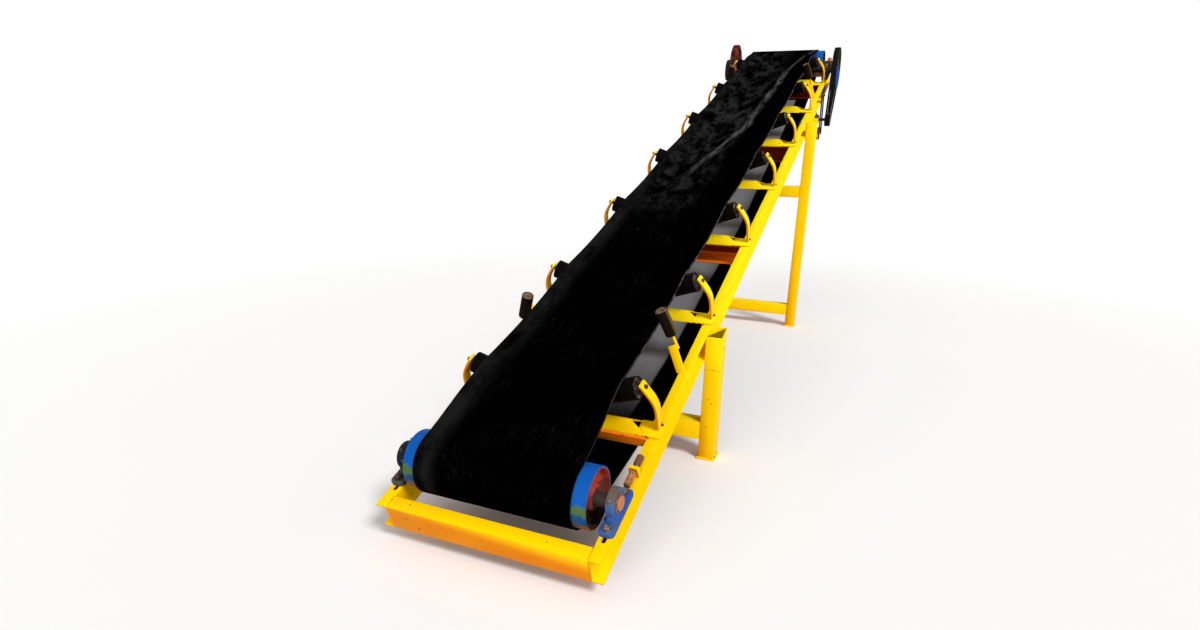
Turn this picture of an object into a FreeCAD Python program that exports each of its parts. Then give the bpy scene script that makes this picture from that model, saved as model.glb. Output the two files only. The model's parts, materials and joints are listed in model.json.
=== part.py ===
import FreeCAD, Part
import math
import os
import re
import Sketcher

# Troughed belt conveyor on two fixed stands.
#
# Two coordinate frames are used.  The row frame stands on the floor: +X to the right seen from the
# tail, +Y towards the head, +Z up, origin on the floor under the middle of the machine.  The line
# frame lies on the stringers: x across, "along" from the tail end to the head, "above" square to the
# stringers' top faces, which are at above = 0.  It is the row frame turned by the incline.

os.makedirs("parts", exist_ok=True)
doc = FreeCAD.newDocument("belt_conveyor")

SIZES = [
    # main frame
    ("overall_width", 1000, "over the stringers' flange tips"),
    ("incline", 20, "degrees"),
    ("stringer_length", 6950, ""),
    ("stringer_depth", 125, ""),
    ("flange_width", 50, "of a stringer"),
    ("web_thick", 5, ""),
    ("flange_thick", 6, ""),
    ("tail_height", 186, "top of the tail end above the floor"),
    ("tail_flange", 63, "of the channel across the tail end"),
    ("cross_flange", 100, "of the deep cross channels"),
    ("cross_setback", 85, "front edge of a cross member ahead of its station"),
    ("shallow_depth", 45, "of the angle at the first station"),
    ("chute_hole_radius", 7, "of the discharge chute's bolt holes"),
    ("chute_hole_pitch", 70, "of the square of four holes"),
    ("chute_hole_inset", 60, "centre of the square from the stringer's end"),
    # idler stations
    ("first_station", 740, "from the tail end"),
    ("station_pitch", 910, ""),
    ("roller_radius", 51, ""),
    ("roller_length", 250, ""),
    ("spindle_radius", 10, ""),
    ("centre_roller_height", 117, "axis above the stringers"),
    ("wing_roller_x", 170, "centre of a wing roller's inner end"),
    ("wing_roller_height", 127, "the same point above the stringers"),
    ("wing_angle", 20, "degrees"),
    ("spindle_inner_end", 18, "beyond a wing roller's inner face"),
    ("spindle_outer_end", 40, "beyond its outer face"),
    ("base_front", 70, "front foot of the idler base ahead of the roller axis"),
    ("base_ridge", 20, "ridge ahead of the roller axis"),
    ("base_back", 30, "back foot behind the roller axis"),
    ("ridge_height", 45, ""),
    ("base_wall", 6, ""),
    ("ridge_half", 350, "half length of the ridge"),
    ("base_half", 440, "half length of the base's feet"),
    ("pad_inner_x", 395, "inner end of a foot pad"),
    ("pad_thick", 6, ""),
    ("post_x", 143, "inner face of the post between two rollers"),
    ("post_thick", 12, ""),
    ("post_height", 140, ""),
    ("post_half_width", 20, ""),
    ("arm_outer_x", 487, ""),
    ("arm_thick", 12, ""),
    ("arm_width", 50, ""),
    ("arm_knee_height", 139, ""),
    ("arm_tip_x", 418, ""),
    ("arm_tip_height", 247, ""),
    # belt
    ("belt_width", 700, ""),
    ("belt_thick", 10, ""),
    ("return_drop", 300, "return run below the stringers' top at its rollers"),
    ("first_sag", 80, "tail pulley to first return roller"),
    ("middle_sag", 40, "between the return rollers"),
    ("last_sag", 25, "second return roller to head pulley"),
    ("return_roller_radius", 38, ""),
    ("return_roller_half", 375, ""),
    ("drop_plate_gap", 9, "between a return roller and its drop plate"),
    ("drop_plate_thick", 8, ""),
    ("drop_plate_width", 60, ""),
    # pulleys and their shafts
    ("tail_pulley_along", 232, ""),
    ("head_setback", 240, "head pulley's axis from the head end"),
    ("tail_pulley_radius", 125, ""),
    ("head_pulley_radius", 130, ""),
    ("tail_pulley_half", 408, "half length of the tail pulley"),
    ("head_pulley_half", 384, ""),
    ("head_pulley_shift", 32, "of the head pulley's middle to the right"),
    ("shell_thick", 9, ""),
    ("disc_recess", 30, "from the shell's end to the end disc"),
    ("disc_thick", 10, ""),
    ("hub_radius", 52, ""),
    ("hub_reach", 18, "of a hub beyond its disc, each way"),
    ("shaft_radius", 30, ""),
    ("shaft_stub", 12, "of a shaft beyond its bearing"),
    ("bearing_height", 70, "shaft axis above the stringers"),
    ("bearing_length", 238, ""),
    ("bearing_width", 65, "of a pillow block's foot"),
    ("bearing_housing", 34, "width of a pillow block's housing"),
    ("bearing_foot", 26, "thickness of a pillow block's foot"),
    ("bearing_round", 62, "radius of a pillow block's round housing"),
    ("screw_radius", 10, "of a take-up screw"),
    ("screw_length", 175, ""),
    ("screw_height", 32, ""),
    ("screw_inset", 26, "from the stringer's flange tip to a take-up screw"),
    ("lug_thick", 16, "of the plate that holds a take-up screw"),
    ("lug_width", 42, ""),
    ("lug_height", 50, ""),
    ("lug_overhang", 76, "of the screw beyond its lug"),
    # drive
    ("gear_module", 5, ""),
    ("gear_teeth", 84, "head shaft"),
    ("pinion_teeth", 20, "countershaft"),
    ("gear_width", 50, ""),
    ("gear_gap", 15, "from the stringer's flange tip to the gears"),
    ("gear_backlash", 0.5, "at the pitch circle"),
    ("gear_rim", 26, "thickness of the gear's rim below its teeth"),
    ("gear_hub_radius", 58, ""),
    ("spoke_width", 34, ""),
    ("spoke_thick", 26, ""),
    ("spoke_overlap", 4, "of a spoke into the hub and into the rim"),
    ("guard_radius", 125, "of the pinion's guard, outside"),
    ("guard_thick", 4, ""),
    ("guard_gap", 8, "from the stringer's flange tip to the guard's side plate"),
    ("guard_post_width", 30, "of the post under the guard's side plate"),
    ("guard_post_gap", 4, "from the post to the bearing's foot"),
    ("guard_foot", 40, "of the post's foot across the flange"),
    ("sheave_radius", 209.5, ""),
    ("motor_sheave_radius", 62, ""),
    ("sheave_gap", 44, "from the stringer's flange tip to the sheaves"),
    ("sheave_width", 54, ""),
    ("groove_pitch", 17, ""),
    ("groove_top", 15, "width of a groove at its mouth"),
    ("groove_bottom", 8, ""),
    ("groove_depth", 13, ""),
    ("sheave_web", 12, ""),
    ("sheave_rim", 12, "thickness of the rim below its grooves"),
    ("v_belt_width", 9.8, ""),
    ("v_belt_inside", 8, "depth of a belt's inner face in its groove"),
    ("v_belt_outside", 2, "height of a belt's back over the rim"),
    ("motor_setback", 390, "motor axis on the tail side of the countershaft"),
    ("motor_drop", 320, "motor axis below the stringers' top"),
    ("motor_radius", 95, ""),
    ("motor_length", 330, ""),
    ("motor_gap", 20, "from the stringer's flange tip to the motor's end"),
    ("motor_foot_height", 114, "motor axis above its platform"),
    ("motor_foot_half", 105, "half spread of the motor's feet"),
    ("pedestal_half", 66, "half width of the block between barrel and feet"),
    ("motor_shaft_radius", 14, ""),
    ("motor_shaft_seat", 40, "of the motor's shaft inside the motor"),
    ("platform_thick", 8, ""),
    ("platform_half", 110, "half length of the motor's platform"),
    ("bearer_size", 50, "of the angles under the platform"),
    ("hanger_width", 60, ""),
    ("hanger_thick", 8, ""),
    ("hanger_top", 30, "top of a hanger below the stringers' top"),
    # belt guide rollers
    ("first_guide_along", 1150, "foot of the first pair of guide bars"),
    ("second_guide_along", 5670, ""),
    ("guide_reach", 64, "roller axis behind its bar's foot"),
    ("guide_radius", 30, ""),
    ("guide_length", 140, ""),
    ("guide_cap", 10, "closed top of a guide roller"),
    ("guide_lean", 20, "degrees inwards"),
    ("guide_x", 401, "centre of a guide roller's lower end"),
    ("guide_height", 170, "the same point above the stringers"),
    ("guide_spindle_radius", 8, ""),
    ("guide_spindle_drop", 82, "of the spindle below the roller"),
    ("guide_spindle_end", 3, "from the spindle's top to the roller's closed top"),
    ("guide_bar_width", 44, ""),
    ("guide_bar_thick", 12, ""),
    ("guide_bar_inset", 42, "middle of the bar's foot from the flange tip"),
    ("guide_bar_height", 104, ""),
    ("guide_bar_offset", 17, "middle of the bar's top inside the spindle"),
    # stands
    ("near_stand", 1380, "front of the near stand behind the tail end, along the floor"),
    ("far_stand", 4660, ""),
    ("leg_width", 84, ""),
    ("leg_depth", 100, ""),
    ("leg_wall", 5, ""),
    ("foot_thick", 10, ""),
    ("foot_overhang", 8, ""),
    ("brace_depth", 100, "height of a brace"),
    ("low_brace_height", 111, "underside above the floor"),
    ("high_brace_height", 1224, ""),
    # fits
    ("running_gap", 0.05, "radial, between a shaft and its bore"),
    ("seat_gap", 0.5, "between a belt and what it lies on"),
    ("fixed_gap", 0.3, "around a fixed spindle in its seat"),
]
STATIONS = range(7)
DEEP_STATIONS = (2, 4, 6)
RETURN_STATIONS = (2, 4)
GROOVES = (-1, 0, 1)
SIDES = (("right", 1), ("left", -1))
SPOKES = 6
# Gear tooth form: pressure angle in degrees, heights above and below the pitch circle in modules.
PRESSURE_ANGLE = 20
ADDENDUM = 0.95
DEDENDUM = 1.25
# The pinion's guard runs between these angles, in degrees from the head's direction.
GUARD_START = 88
GUARD_END = 190

# Sizes that follow from the ones in the sheet, by name.
DERIVED = {
    "half_width": "overall_width / 2",
    "web_inner": "half_width - flange_width",
    "web_outer": "web_inner + web_thick",
    "tail_y": "-(stringer_length * cos(incline) + stringer_depth * sin(incline)) / 2",
    "bearing_x": "half_width - flange_width / 2",
    "bearing_outer": "bearing_x + bearing_width / 2",
    "bearing_inner": "bearing_x - bearing_width / 2",
    "housing_outer": "bearing_x + bearing_housing / 2",
    "housing_inner": "bearing_x - bearing_housing / 2",
    "shaft_end": "housing_outer + shaft_stub",
    "screw_x": "half_width - screw_inset",
    "head_pulley_along": "stringer_length - head_setback",
    "countershaft_along": "head_pulley_along - gear_module * (gear_teeth + pinion_teeth) / 2",
    "motor_along": "countershaft_along - motor_setback",
    "gear_inner": "half_width + gear_gap",
    "gear_outer": "gear_inner + gear_width",
    "sheave_inner": "half_width + sheave_gap",
    "sheave_outer": "sheave_inner + sheave_width",
    "sheave_middle": "sheave_inner + sheave_width / 2",
    "platform_top": "-(motor_drop + motor_foot_height)",
    "bearer_top": "platform_top - platform_thick",
    "return_axis": "-(return_drop + belt_thick + seat_gap + return_roller_radius)",
    "drop_plate_x": "return_roller_half + drop_plate_gap",
    "drop_plate_along": "cross_setback - cross_flange / 2",
    "front_run": "base_front - base_ridge",
    "back_run": "base_ridge + base_back",
    "front_slope": "sqrt(front_run ^ 2 + ridge_height ^ 2)",
    "back_slope": "sqrt(back_run ^ 2 + ridge_height ^ 2)",
    "guide_bore": "guide_length - guide_cap",
    "guide_bar_x": "half_width - guide_bar_inset",
    "guide_bar_top_x": "guide_x + (guide_height - guide_bar_height) * tan(guide_lean) - guide_bar_offset",
    "arm_lean": "atan((arm_outer_x - arm_tip_x) / (arm_tip_height - arm_knee_height))",
}
ALIASES = {alias for alias, value, note in SIZES}

sheet = doc.addObject("Spreadsheet::Sheet", "Sizes")
for row, (alias, value, note) in enumerate(SIZES, start=1):
    sheet.set(f"A{row}", note or alias)
    sheet.set(f"B{row}", str(value))
    sheet.setAlias(f"B{row}", alias)
doc.recompute()

nodes = []


# --- small tools ------------------------------------------------------------------------------

def formula(text):
    """A formula in size names, as an expression on the sheet."""
    def opened(match):
        word = match.group()
        if word in DERIVED:
            return f"({formula(DERIVED[word])})"
        return f"Sizes.{word}" if word in ALIASES else word
    return re.sub(r"[a-z][a-z_0-9]*", opened, str(text))


def measure(text):
    """The value of a formula now."""
    return float(sheet.evalExpression(formula(text)))


def bind(thing, prop, text):
    thing.setExpression(prop, formula(text))


def place(thing, x="0", y="0", z="0"):
    """Bind a thing's position."""
    for axis, text in zip("xyz", (x, y, z)):
        bind(thing, f"Placement.Base.{axis}", text)


def turn(thing, axis, angle):
    """Bind a thing's turn about a fixed axis; the angle is never negative."""
    thing.Placement = FreeCAD.Placement(FreeCAD.Vector(), FreeCAD.Rotation(FreeCAD.Vector(*axis), 1))
    bind(thing, "Placement.Rotation.Angle", f"({angle}) * 1 deg")


def on_line(thing, x="0", along="0", above="0"):
    """Put a thing modelled about a point of the line frame into the row frame."""
    turn(thing, (1, 0, 0), "incline")
    place(thing, x,
          f"tail_y + ({along}) * cos(incline) - ({above}) * sin(incline)",
          f"tail_height + ({along}) * sin(incline) + ({above}) * cos(incline)")


def finish(thing, label, line=True):
    """Name a finished sub-part and list it for export."""
    if line:
        on_line(thing)
    thing.Label = label
    nodes.append(thing)
    return thing


def block(name, x, y, z):
    """A box between two formulas on each axis."""
    solid = doc.addObject("Part::Box", name)
    for prop, (low, high) in zip(("Length", "Width", "Height"), (x, y, z)):
        bind(solid, prop, f"({high}) - ({low})")
    place(solid, x[0], y[0], z[0])
    return solid


def rod(name, radius, length, start, axis=(0, 1, 0), lean="90"):
    """A round bar from a start point, leaning from upright by an angle about an axis."""
    solid = doc.addObject("Part::Cylinder", name)
    bind(solid, "Radius", radius)
    bind(solid, "Height", length)
    turn(solid, axis, lean)
    place(solid, *start)
    return solid


def cross_rod(name, radius, low, high, along, above):
    """A round bar across the line, from x = low to x = high."""
    return rod(name, radius, f"({high}) - ({low})", (low, along, above))


def cut(name, base, tool):
    result = doc.addObject("Part::Cut", name)
    result.Base = base
    result.Tool = tool
    return result


def join(name, parts):
    """One solid from parts that overlap."""
    result = doc.addObject("Part::MultiFuse", name)
    result.Shapes = parts
    result.Refine = True
    return result


def group(name, parts):
    """Several solids that don't touch, as one sub-part."""
    result = doc.addObject("Part::Compound", name)
    result.Links = parts
    return result


def new_sketch(body, plane, name, offset="0"):
    sketch = body.newObject("Sketcher::SketchObject", name)
    origin_plane = next(item for item in body.Origin.OriginFeatures if item.Role == plane)
    sketch.AttachmentSupport = [(origin_plane, "")]
    sketch.MapMode = "FlatFace"
    bind(sketch, "AttachmentOffset.Base.z", offset)
    return sketch


def draw_outline(sketch, points):
    """Close a polygon whose every corner is held by its two formulas."""
    corners = [FreeCAD.Vector(measure(across), measure(up), 0) for across, up in points]
    first = sketch.GeometryCount
    count = len(points)
    for index, corner in enumerate(corners):
        sketch.addGeometry(Part.LineSegment(corner, corners[(index + 1) % count]), False)
    for index in range(count):
        follower = first + (index + 1) % count
        sketch.addConstraint(Sketcher.Constraint("Coincident", first + index, 2, follower, 1))
    for index, (corner, texts) in enumerate(zip(corners, points)):
        for kind, value, text in zip(("DistanceX", "DistanceY"), corner, texts):
            rule = Sketcher.Constraint(kind, -1, 1, first + index, 1, value)
            number = sketch.addConstraint(rule)
            sketch.setExpression(f"Constraints[{number}]", formula(text))


def draw_circle(sketch, across, up, radius):
    centre = FreeCAD.Vector(measure(across), measure(up), 0)
    upright = FreeCAD.Vector(0, 0, 1)
    index = sketch.addGeometry(Part.Circle(centre, upright, measure(radius)), False)
    rules = (
        (Sketcher.Constraint("DistanceX", -1, 1, index, 3, centre.x), across),
        (Sketcher.Constraint("DistanceY", -1, 1, index, 3, centre.y), up),
        (Sketcher.Constraint("Radius", index, measure(radius)), radius),
    )
    for rule, text in rules:
        number = sketch.addConstraint(rule)
        sketch.setExpression(f"Constraints[{number}]", formula(text))


def prism(name, plane, points, low, high, holes=()):
    """A body padded from an outline: plane XZ_Plane runs along +Y, YZ_Plane along +X, XY_Plane up."""
    body = doc.addObject("PartDesign::Body", name)
    backwards = plane == "XZ_Plane"
    sketch = new_sketch(body, plane, f"{name}_outline", f"-({low})" if backwards else low)
    draw_outline(sketch, points)
    for hole in holes:
        draw_outline(sketch, hole)
    pad = body.newObject("PartDesign::Pad", f"{name}_pad")
    pad.Profile = sketch
    pad.Reversed = backwards
    bind(pad, "Length", f"({high}) - ({low})")
    return body


def drill(body, plane, circles):
    """Cut round holes right through a body."""
    sketch = new_sketch(body, plane, f"{body.Name}_circles")
    for circle in circles:
        draw_circle(sketch, *circle)
    pocket = body.newObject("PartDesign::Pocket", f"{body.Name}_holes")
    pocket.Profile = sketch
    pocket.Type = "ThroughAll"
    pocket.Midplane = True


def turned(name, points):
    """A body turned about the X axis from an outline in (x, radius)."""
    body = doc.addObject("PartDesign::Body", name)
    sketch = new_sketch(body, "XZ_Plane", f"{name}_outline")
    draw_outline(sketch, points)
    revolution = body.newObject("PartDesign::Revolution", f"{name}_turned")
    revolution.Profile = sketch
    revolution.ReferenceAxis = (sketch, ["H_Axis"])
    revolution.Angle = 360
    return body


def shaped(name, shape):
    """A sub-part whose shape is worked out from the sheet's sizes in this file."""
    feature = doc.addObject("Part::Feature", name)
    feature.Shape = shape
    return feature


def span(side, low, high):
    """The x range low..high on one side, smaller value first."""
    return (f"{low}", f"{high}") if side > 0 else (f"-({high})", f"-({low})")


def station(index):
    return f"(first_station + {index} * station_pitch)"


# --- main frame -------------------------------------------------------------------------------

def make_stringer(label, side):
    """A channel that opens outwards, drilled at the head for a discharge chute."""
    outline = [
        ("web_inner", "0"), ("half_width", "0"), ("half_width", "-flange_thick"),
        ("web_outer", "-flange_thick"), ("web_outer", "flange_thick - stringer_depth"),
        ("half_width", "flange_thick - stringer_depth"), ("half_width", "-stringer_depth"),
        ("web_inner", "-stringer_depth"),
    ]
    points = [(f"{side} * ({across})", up) for across, up in outline]
    body = prism(label, "XZ_Plane", points, "0", "stringer_length")
    centre = "stringer_length - chute_hole_inset"
    circles = [(f"{centre} + {fore} * chute_hole_pitch / 2",
                f"{high} * chute_hole_pitch / 2 - stringer_depth / 2", "chute_hole_radius")
               for fore in (-1, 1) for high in (-1, 1)]
    drill(body, "YZ_Plane", circles)
    finish(body, label)


def channel_outline(start, flange, depth):
    """A channel with its web at the end named by start, its flanges running on by a signed length."""
    inwards = f"({flange}) / abs({flange})"
    return [
        (start, "0"), (f"{start} + {flange}", "0"), (f"{start} + {flange}", "-flange_thick"),
        (f"{start} + {inwards} * flange_thick", "-flange_thick"),
        (f"{start} + {inwards} * flange_thick", f"flange_thick - {depth}"),
        (f"{start} + {flange}", f"flange_thick - {depth}"), (f"{start} + {flange}", f"-{depth}"),
        (start, f"-{depth}"),
    ]


def make_cross_members():
    """The channel across the tail end, an angle at the first station and deep channels further on."""
    beam = prism("tail_beam", "YZ_Plane", channel_outline("0", "tail_flange", "stringer_depth"),
                 "-web_inner", "web_inner")
    finish(beam, "tail_beam")
    front = f"{station(0)} - cross_setback"
    angle = [
        (front, "0"), (f"{front} + shallow_depth", "0"), (f"{front} + shallow_depth", "-flange_thick"),
        (f"{front} + flange_thick", "-flange_thick"), (f"{front} + flange_thick", "-shallow_depth"),
        (front, "-shallow_depth"),
    ]
    members = [prism("shallow_member", "YZ_Plane", angle, "-web_inner", "web_inner")]
    for index in DEEP_STATIONS:
        web = f"{station(index)} - cross_setback + cross_flange"
        outline = channel_outline(web, "-cross_flange", "stringer_depth")
        members.append(prism(f"deep_member_{index + 1}", "YZ_Plane", outline, "-web_inner", "web_inner"))
    finish(group("cross_members", members), "cross_members")


# --- stands -----------------------------------------------------------------------------------

def make_leg(label, side, stand):
    """A box leg with an open top, cut off level with the stringers' top."""
    top = f"tail_height - foot_thick + {stand} * tan(incline)"
    profile = [("0", "0"), ("leg_depth", "0"), ("leg_depth", f"{top} + leg_depth * tan(incline)"),
               ("0", top)]
    low, high = span(side, "0", "leg_width")
    body = prism(label, "YZ_Plane", profile, low, high)
    inside = span(side, "leg_wall", "leg_width - leg_wall")
    sketch = new_sketch(body, "XY_Plane", f"{label}_hollow")
    draw_outline(sketch, [(across, up) for across, up in (
        (inside[0], "leg_wall"), (inside[1], "leg_wall"),
        (inside[1], "leg_depth - leg_wall"), (inside[0], "leg_depth - leg_wall"))])
    pocket = body.newObject("PartDesign::Pocket", f"{label}_bore")
    pocket.Profile = sketch
    pocket.Type = "ThroughAll"
    pocket.Midplane = True
    place(body, f"{side} * half_width", f"tail_y + {stand}", "foot_thick")
    finish(body, label, line=False)


def make_brace(name, stand, bottom):
    """A square tube between the two legs of a stand."""
    front = f"tail_y + {stand}"
    outer = [(front, bottom), (f"{front} + leg_depth", bottom),
             (f"{front} + leg_depth", f"{bottom} + brace_depth"), (front, f"{bottom} + brace_depth")]
    inner = [(f"{front} + leg_wall", f"{bottom} + leg_wall"),
             (f"{front} + leg_depth - leg_wall", f"{bottom} + leg_wall"),
             (f"{front} + leg_depth - leg_wall", f"{bottom} + brace_depth - leg_wall"),
             (f"{front} + leg_wall", f"{bottom} + brace_depth - leg_wall")]
    return prism(name, "YZ_Plane", outer, "-half_width", "half_width", holes=(inner,))


def make_stands():
    feet = []
    for stand in ("near_stand", "far_stand"):
        for word, side in SIDES:
            make_leg(f"{stand}_leg_{word}", side, stand)
            across = span(side, "half_width - foot_overhang", "half_width + leg_width + foot_overhang")
            front = f"tail_y + {stand} - foot_overhang"
            feet.append(block(f"{stand}_foot_{word}", across,
                              (front, f"{front} + leg_depth + 2 * foot_overhang"), ("0", "foot_thick")))
    finish(group("foot_plates", feet), "foot_plates", line=False)
    finish(make_brace("near_brace", "near_stand", "low_brace_height"), "near_stand_brace", line=False)
    far = [make_brace("far_low_brace", "far_stand", "low_brace_height"),
           make_brace("far_high_brace", "far_stand", "high_brace_height")]
    finish(group("far_braces", far), "far_stand_braces", line=False)


# --- idler stations ---------------------------------------------------------------------------

def centre_spindle(name, radius, reach, along):
    end = f"post_x + {reach}"
    return cross_rod(name, radius, f"-({end})", end, along, "centre_roller_height")


def wing_rod(name, side, radius, inner, outer, along):
    """A bar on a wing roller's axis, from inner before its inner face to outer past that face."""
    x = f"{side} * (wing_roller_x - ({inner}) * cos(wing_angle))"
    z = f"wing_roller_height - ({inner}) * sin(wing_angle)"
    return rod(name, radius, f"({inner}) + ({outer})", (x, along, z), (0, side, 0), "90 - wing_angle")


def spindle_seats(name, along):
    """The room that the spindles take up in posts and arms."""
    radius = "spindle_radius + fixed_gap"
    inner, outer = "spindle_inner_end + fixed_gap", "roller_length + spindle_outer_end + fixed_gap"
    tools = [wing_rod(f"{name}_{word}", side, radius, inner, outer, along) for word, side in SIDES]
    tools.append(centre_spindle(f"{name}_centre", radius, "post_thick / 3 + fixed_gap", along))
    return join(name, tools)


def make_idler_base(index):
    """An inverted angle across the stringers, with foot pads and the posts between the rollers."""
    along = station(index)
    front, ridge, back = f"{along} - base_front", f"{along} - base_ridge", f"{along} + base_back"
    profile = [
        (front, "0"), (ridge, "ridge_height"), (back, "0"),
        (f"{back} - base_wall * back_slope / ridge_height", "0"),
        (ridge, "ridge_height - base_wall * front_slope / front_run"),
        (f"{front} + base_wall * front_slope / ridge_height", "0"),
    ]
    angle = prism(f"base_angle_{index + 1}", "YZ_Plane", profile, "-base_half", "base_half")
    tapers = []
    for word, side in SIDES:
        corner = [(f"{side} * ridge_half", "ridge_height"), (f"{side} * base_half", "0"),
                  (f"{side} * (base_half + base_wall)", "0"),
                  (f"{side} * (base_half + base_wall)", "ridge_height + base_wall"),
                  (f"{side} * ridge_half", "ridge_height + base_wall")]
        tapers.append(prism(f"base_taper_{word}_{index + 1}", "XZ_Plane", corner,
                            f"{front} - base_wall", f"{back} + base_wall"))
    tapered = cut(f"base_tapered_{index + 1}", angle, group(f"base_tapers_{index + 1}", tapers))
    pieces = [tapered]
    for word, side in SIDES:
        pieces.append(block(f"base_pad_{word}_{index + 1}", span(side, "pad_inner_x", "half_width"),
                            (front, back), ("0", "pad_thick")))
        pieces.append(block(f"base_post_{word}_{index + 1}", span(side, "post_x", "post_x + post_thick"),
                            (f"{along} - base_ridge - base_wall", f"{along} + post_half_width"),
                            ("ridge_height / 4", "post_height")))
    whole = join(f"base_whole_{index + 1}", pieces)
    return cut(f"idler_base_{index + 1}", whole, spindle_seats(f"base_seats_{index + 1}", along))


def make_idler_arm(index, word, side):
    """A bent flat bar that stands on the foot pad and leans in to hold a wing roller's spindle."""
    along = station(index)
    outline = [
        ("arm_outer_x", "pad_thick"), ("arm_outer_x", "arm_knee_height"),
        ("arm_tip_x", "arm_tip_height"),
        ("arm_tip_x - arm_thick * cos(arm_lean)", "arm_tip_height - arm_thick * sin(arm_lean)"),
        ("arm_outer_x - arm_thick", "arm_knee_height - arm_thick * tan(arm_lean / 2)"),
        ("arm_outer_x - arm_thick", "pad_thick"),
    ]
    points = [(f"{side} * ({across})", up) for across, up in outline]
    name = f"{word}_{index + 1}"
    arm = prism(f"arm_bar_{name}", "XZ_Plane", points, f"{along} - arm_width / 2",
                f"{along} + arm_width / 2")
    seat = wing_rod(f"arm_seat_{name}", side, "spindle_radius + fixed_gap", "0",
                    "roller_length + 2 * spindle_outer_end", along)
    return cut(f"idler_arm_{name}", arm, seat)


def make_idler_rollers(index):
    """A level centre roller and two wing rollers, each with its fixed spindle."""
    along = station(index)
    rollers = []
    for word, side in SIDES:
        shell = wing_rod(f"wing_shell_{word}_{index + 1}", side, "roller_radius", "0", "roller_length",
                         along)
        spindle = wing_rod(f"wing_spindle_{word}_{index + 1}", side, "spindle_radius",
                           "spindle_inner_end", "roller_length + spindle_outer_end", along)
        rollers.append(join(f"wing_roller_{word}_{index + 1}", [shell, spindle]))
    shell = cross_rod(f"centre_shell_{index + 1}", "roller_radius", "-roller_length / 2",
                      "roller_length / 2", along, "centre_roller_height")
    spindle = centre_spindle(f"centre_spindle_{index + 1}", "spindle_radius", "post_thick / 3", along)
    rollers.append(join(f"centre_roller_{index + 1}", [shell, spindle]))
    label = f"idler_rollers_{index + 1}"
    finish(group(label, rollers), label)


def make_idlers():
    finish(group("idler_bases", [make_idler_base(index) for index in STATIONS]), "idler_bases")
    arms = [make_idler_arm(index, word, side) for index in STATIONS for word, side in SIDES]
    finish(group("idler_arms", arms), "idler_arms")
    for index in STATIONS:
        make_idler_rollers(index)


# --- belt -------------------------------------------------------------------------------------

def wire_at(along, points):
    """A closed wire across the line from (x, above) points."""
    corners = [FreeCAD.Vector(x, along, above) for x, above in points]
    return Part.makePolygon(corners + corners[:1])


def trough_points():
    """The belt's section in the trough: under side from left to right, then back over the top."""
    lift = measure("roller_radius + seat_gap")
    thick = measure("belt_thick")
    lean = math.radians(measure("wing_angle"))
    floor = measure("centre_roller_height") + lift
    rise = floor - measure("wing_roller_height") - lift / math.cos(lean)
    fold = measure("wing_roller_x") + rise / math.tan(lean)
    wing = measure("belt_width / 2") - fold
    edge = (fold + wing * math.cos(lean), floor + wing * math.sin(lean))
    top_fold = (fold - thick * math.tan(lean / 2), floor + thick)
    top_edge = (edge[0] - thick * math.sin(lean), edge[1] + thick * math.cos(lean))
    under = [(-edge[0], edge[1]), (-fold, floor), (fold, floor), edge]
    over = [top_edge, top_fold, (-top_fold[0], top_fold[1]), (-top_edge[0], top_edge[1])]
    return under + over, fold


def flat_points(under, fold):
    """The same eight corners where the belt lies flat on a pulley."""
    half = measure("belt_width / 2")
    over = under + measure("belt_thick")
    return [(-half, under), (-fold, under), (fold, under), (half, under),
            (half, over), (fold, over), (-fold, over), (-half, over)]


def ring_piece(centre, inner, outer, start, end):
    """A face between two radii and two angles, in degrees from the line's direction."""
    def point(radius, angle):
        turned_by = math.radians(angle)
        return centre + FreeCAD.Vector(0, radius * math.cos(turned_by), radius * math.sin(turned_by))
    middle = (start + end) / 2
    inside = Part.Arc(point(inner, start), point(inner, middle), point(inner, end)).toShape()
    outside = Part.Arc(point(outer, end), point(outer, middle), point(outer, start)).toShape()
    ends = (Part.makeLine(point(inner, end), point(outer, end)),
            Part.makeLine(point(outer, start), point(inner, start)))
    return Part.Face(Part.Wire([inside, ends[0], outside, ends[1]]))


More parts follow.
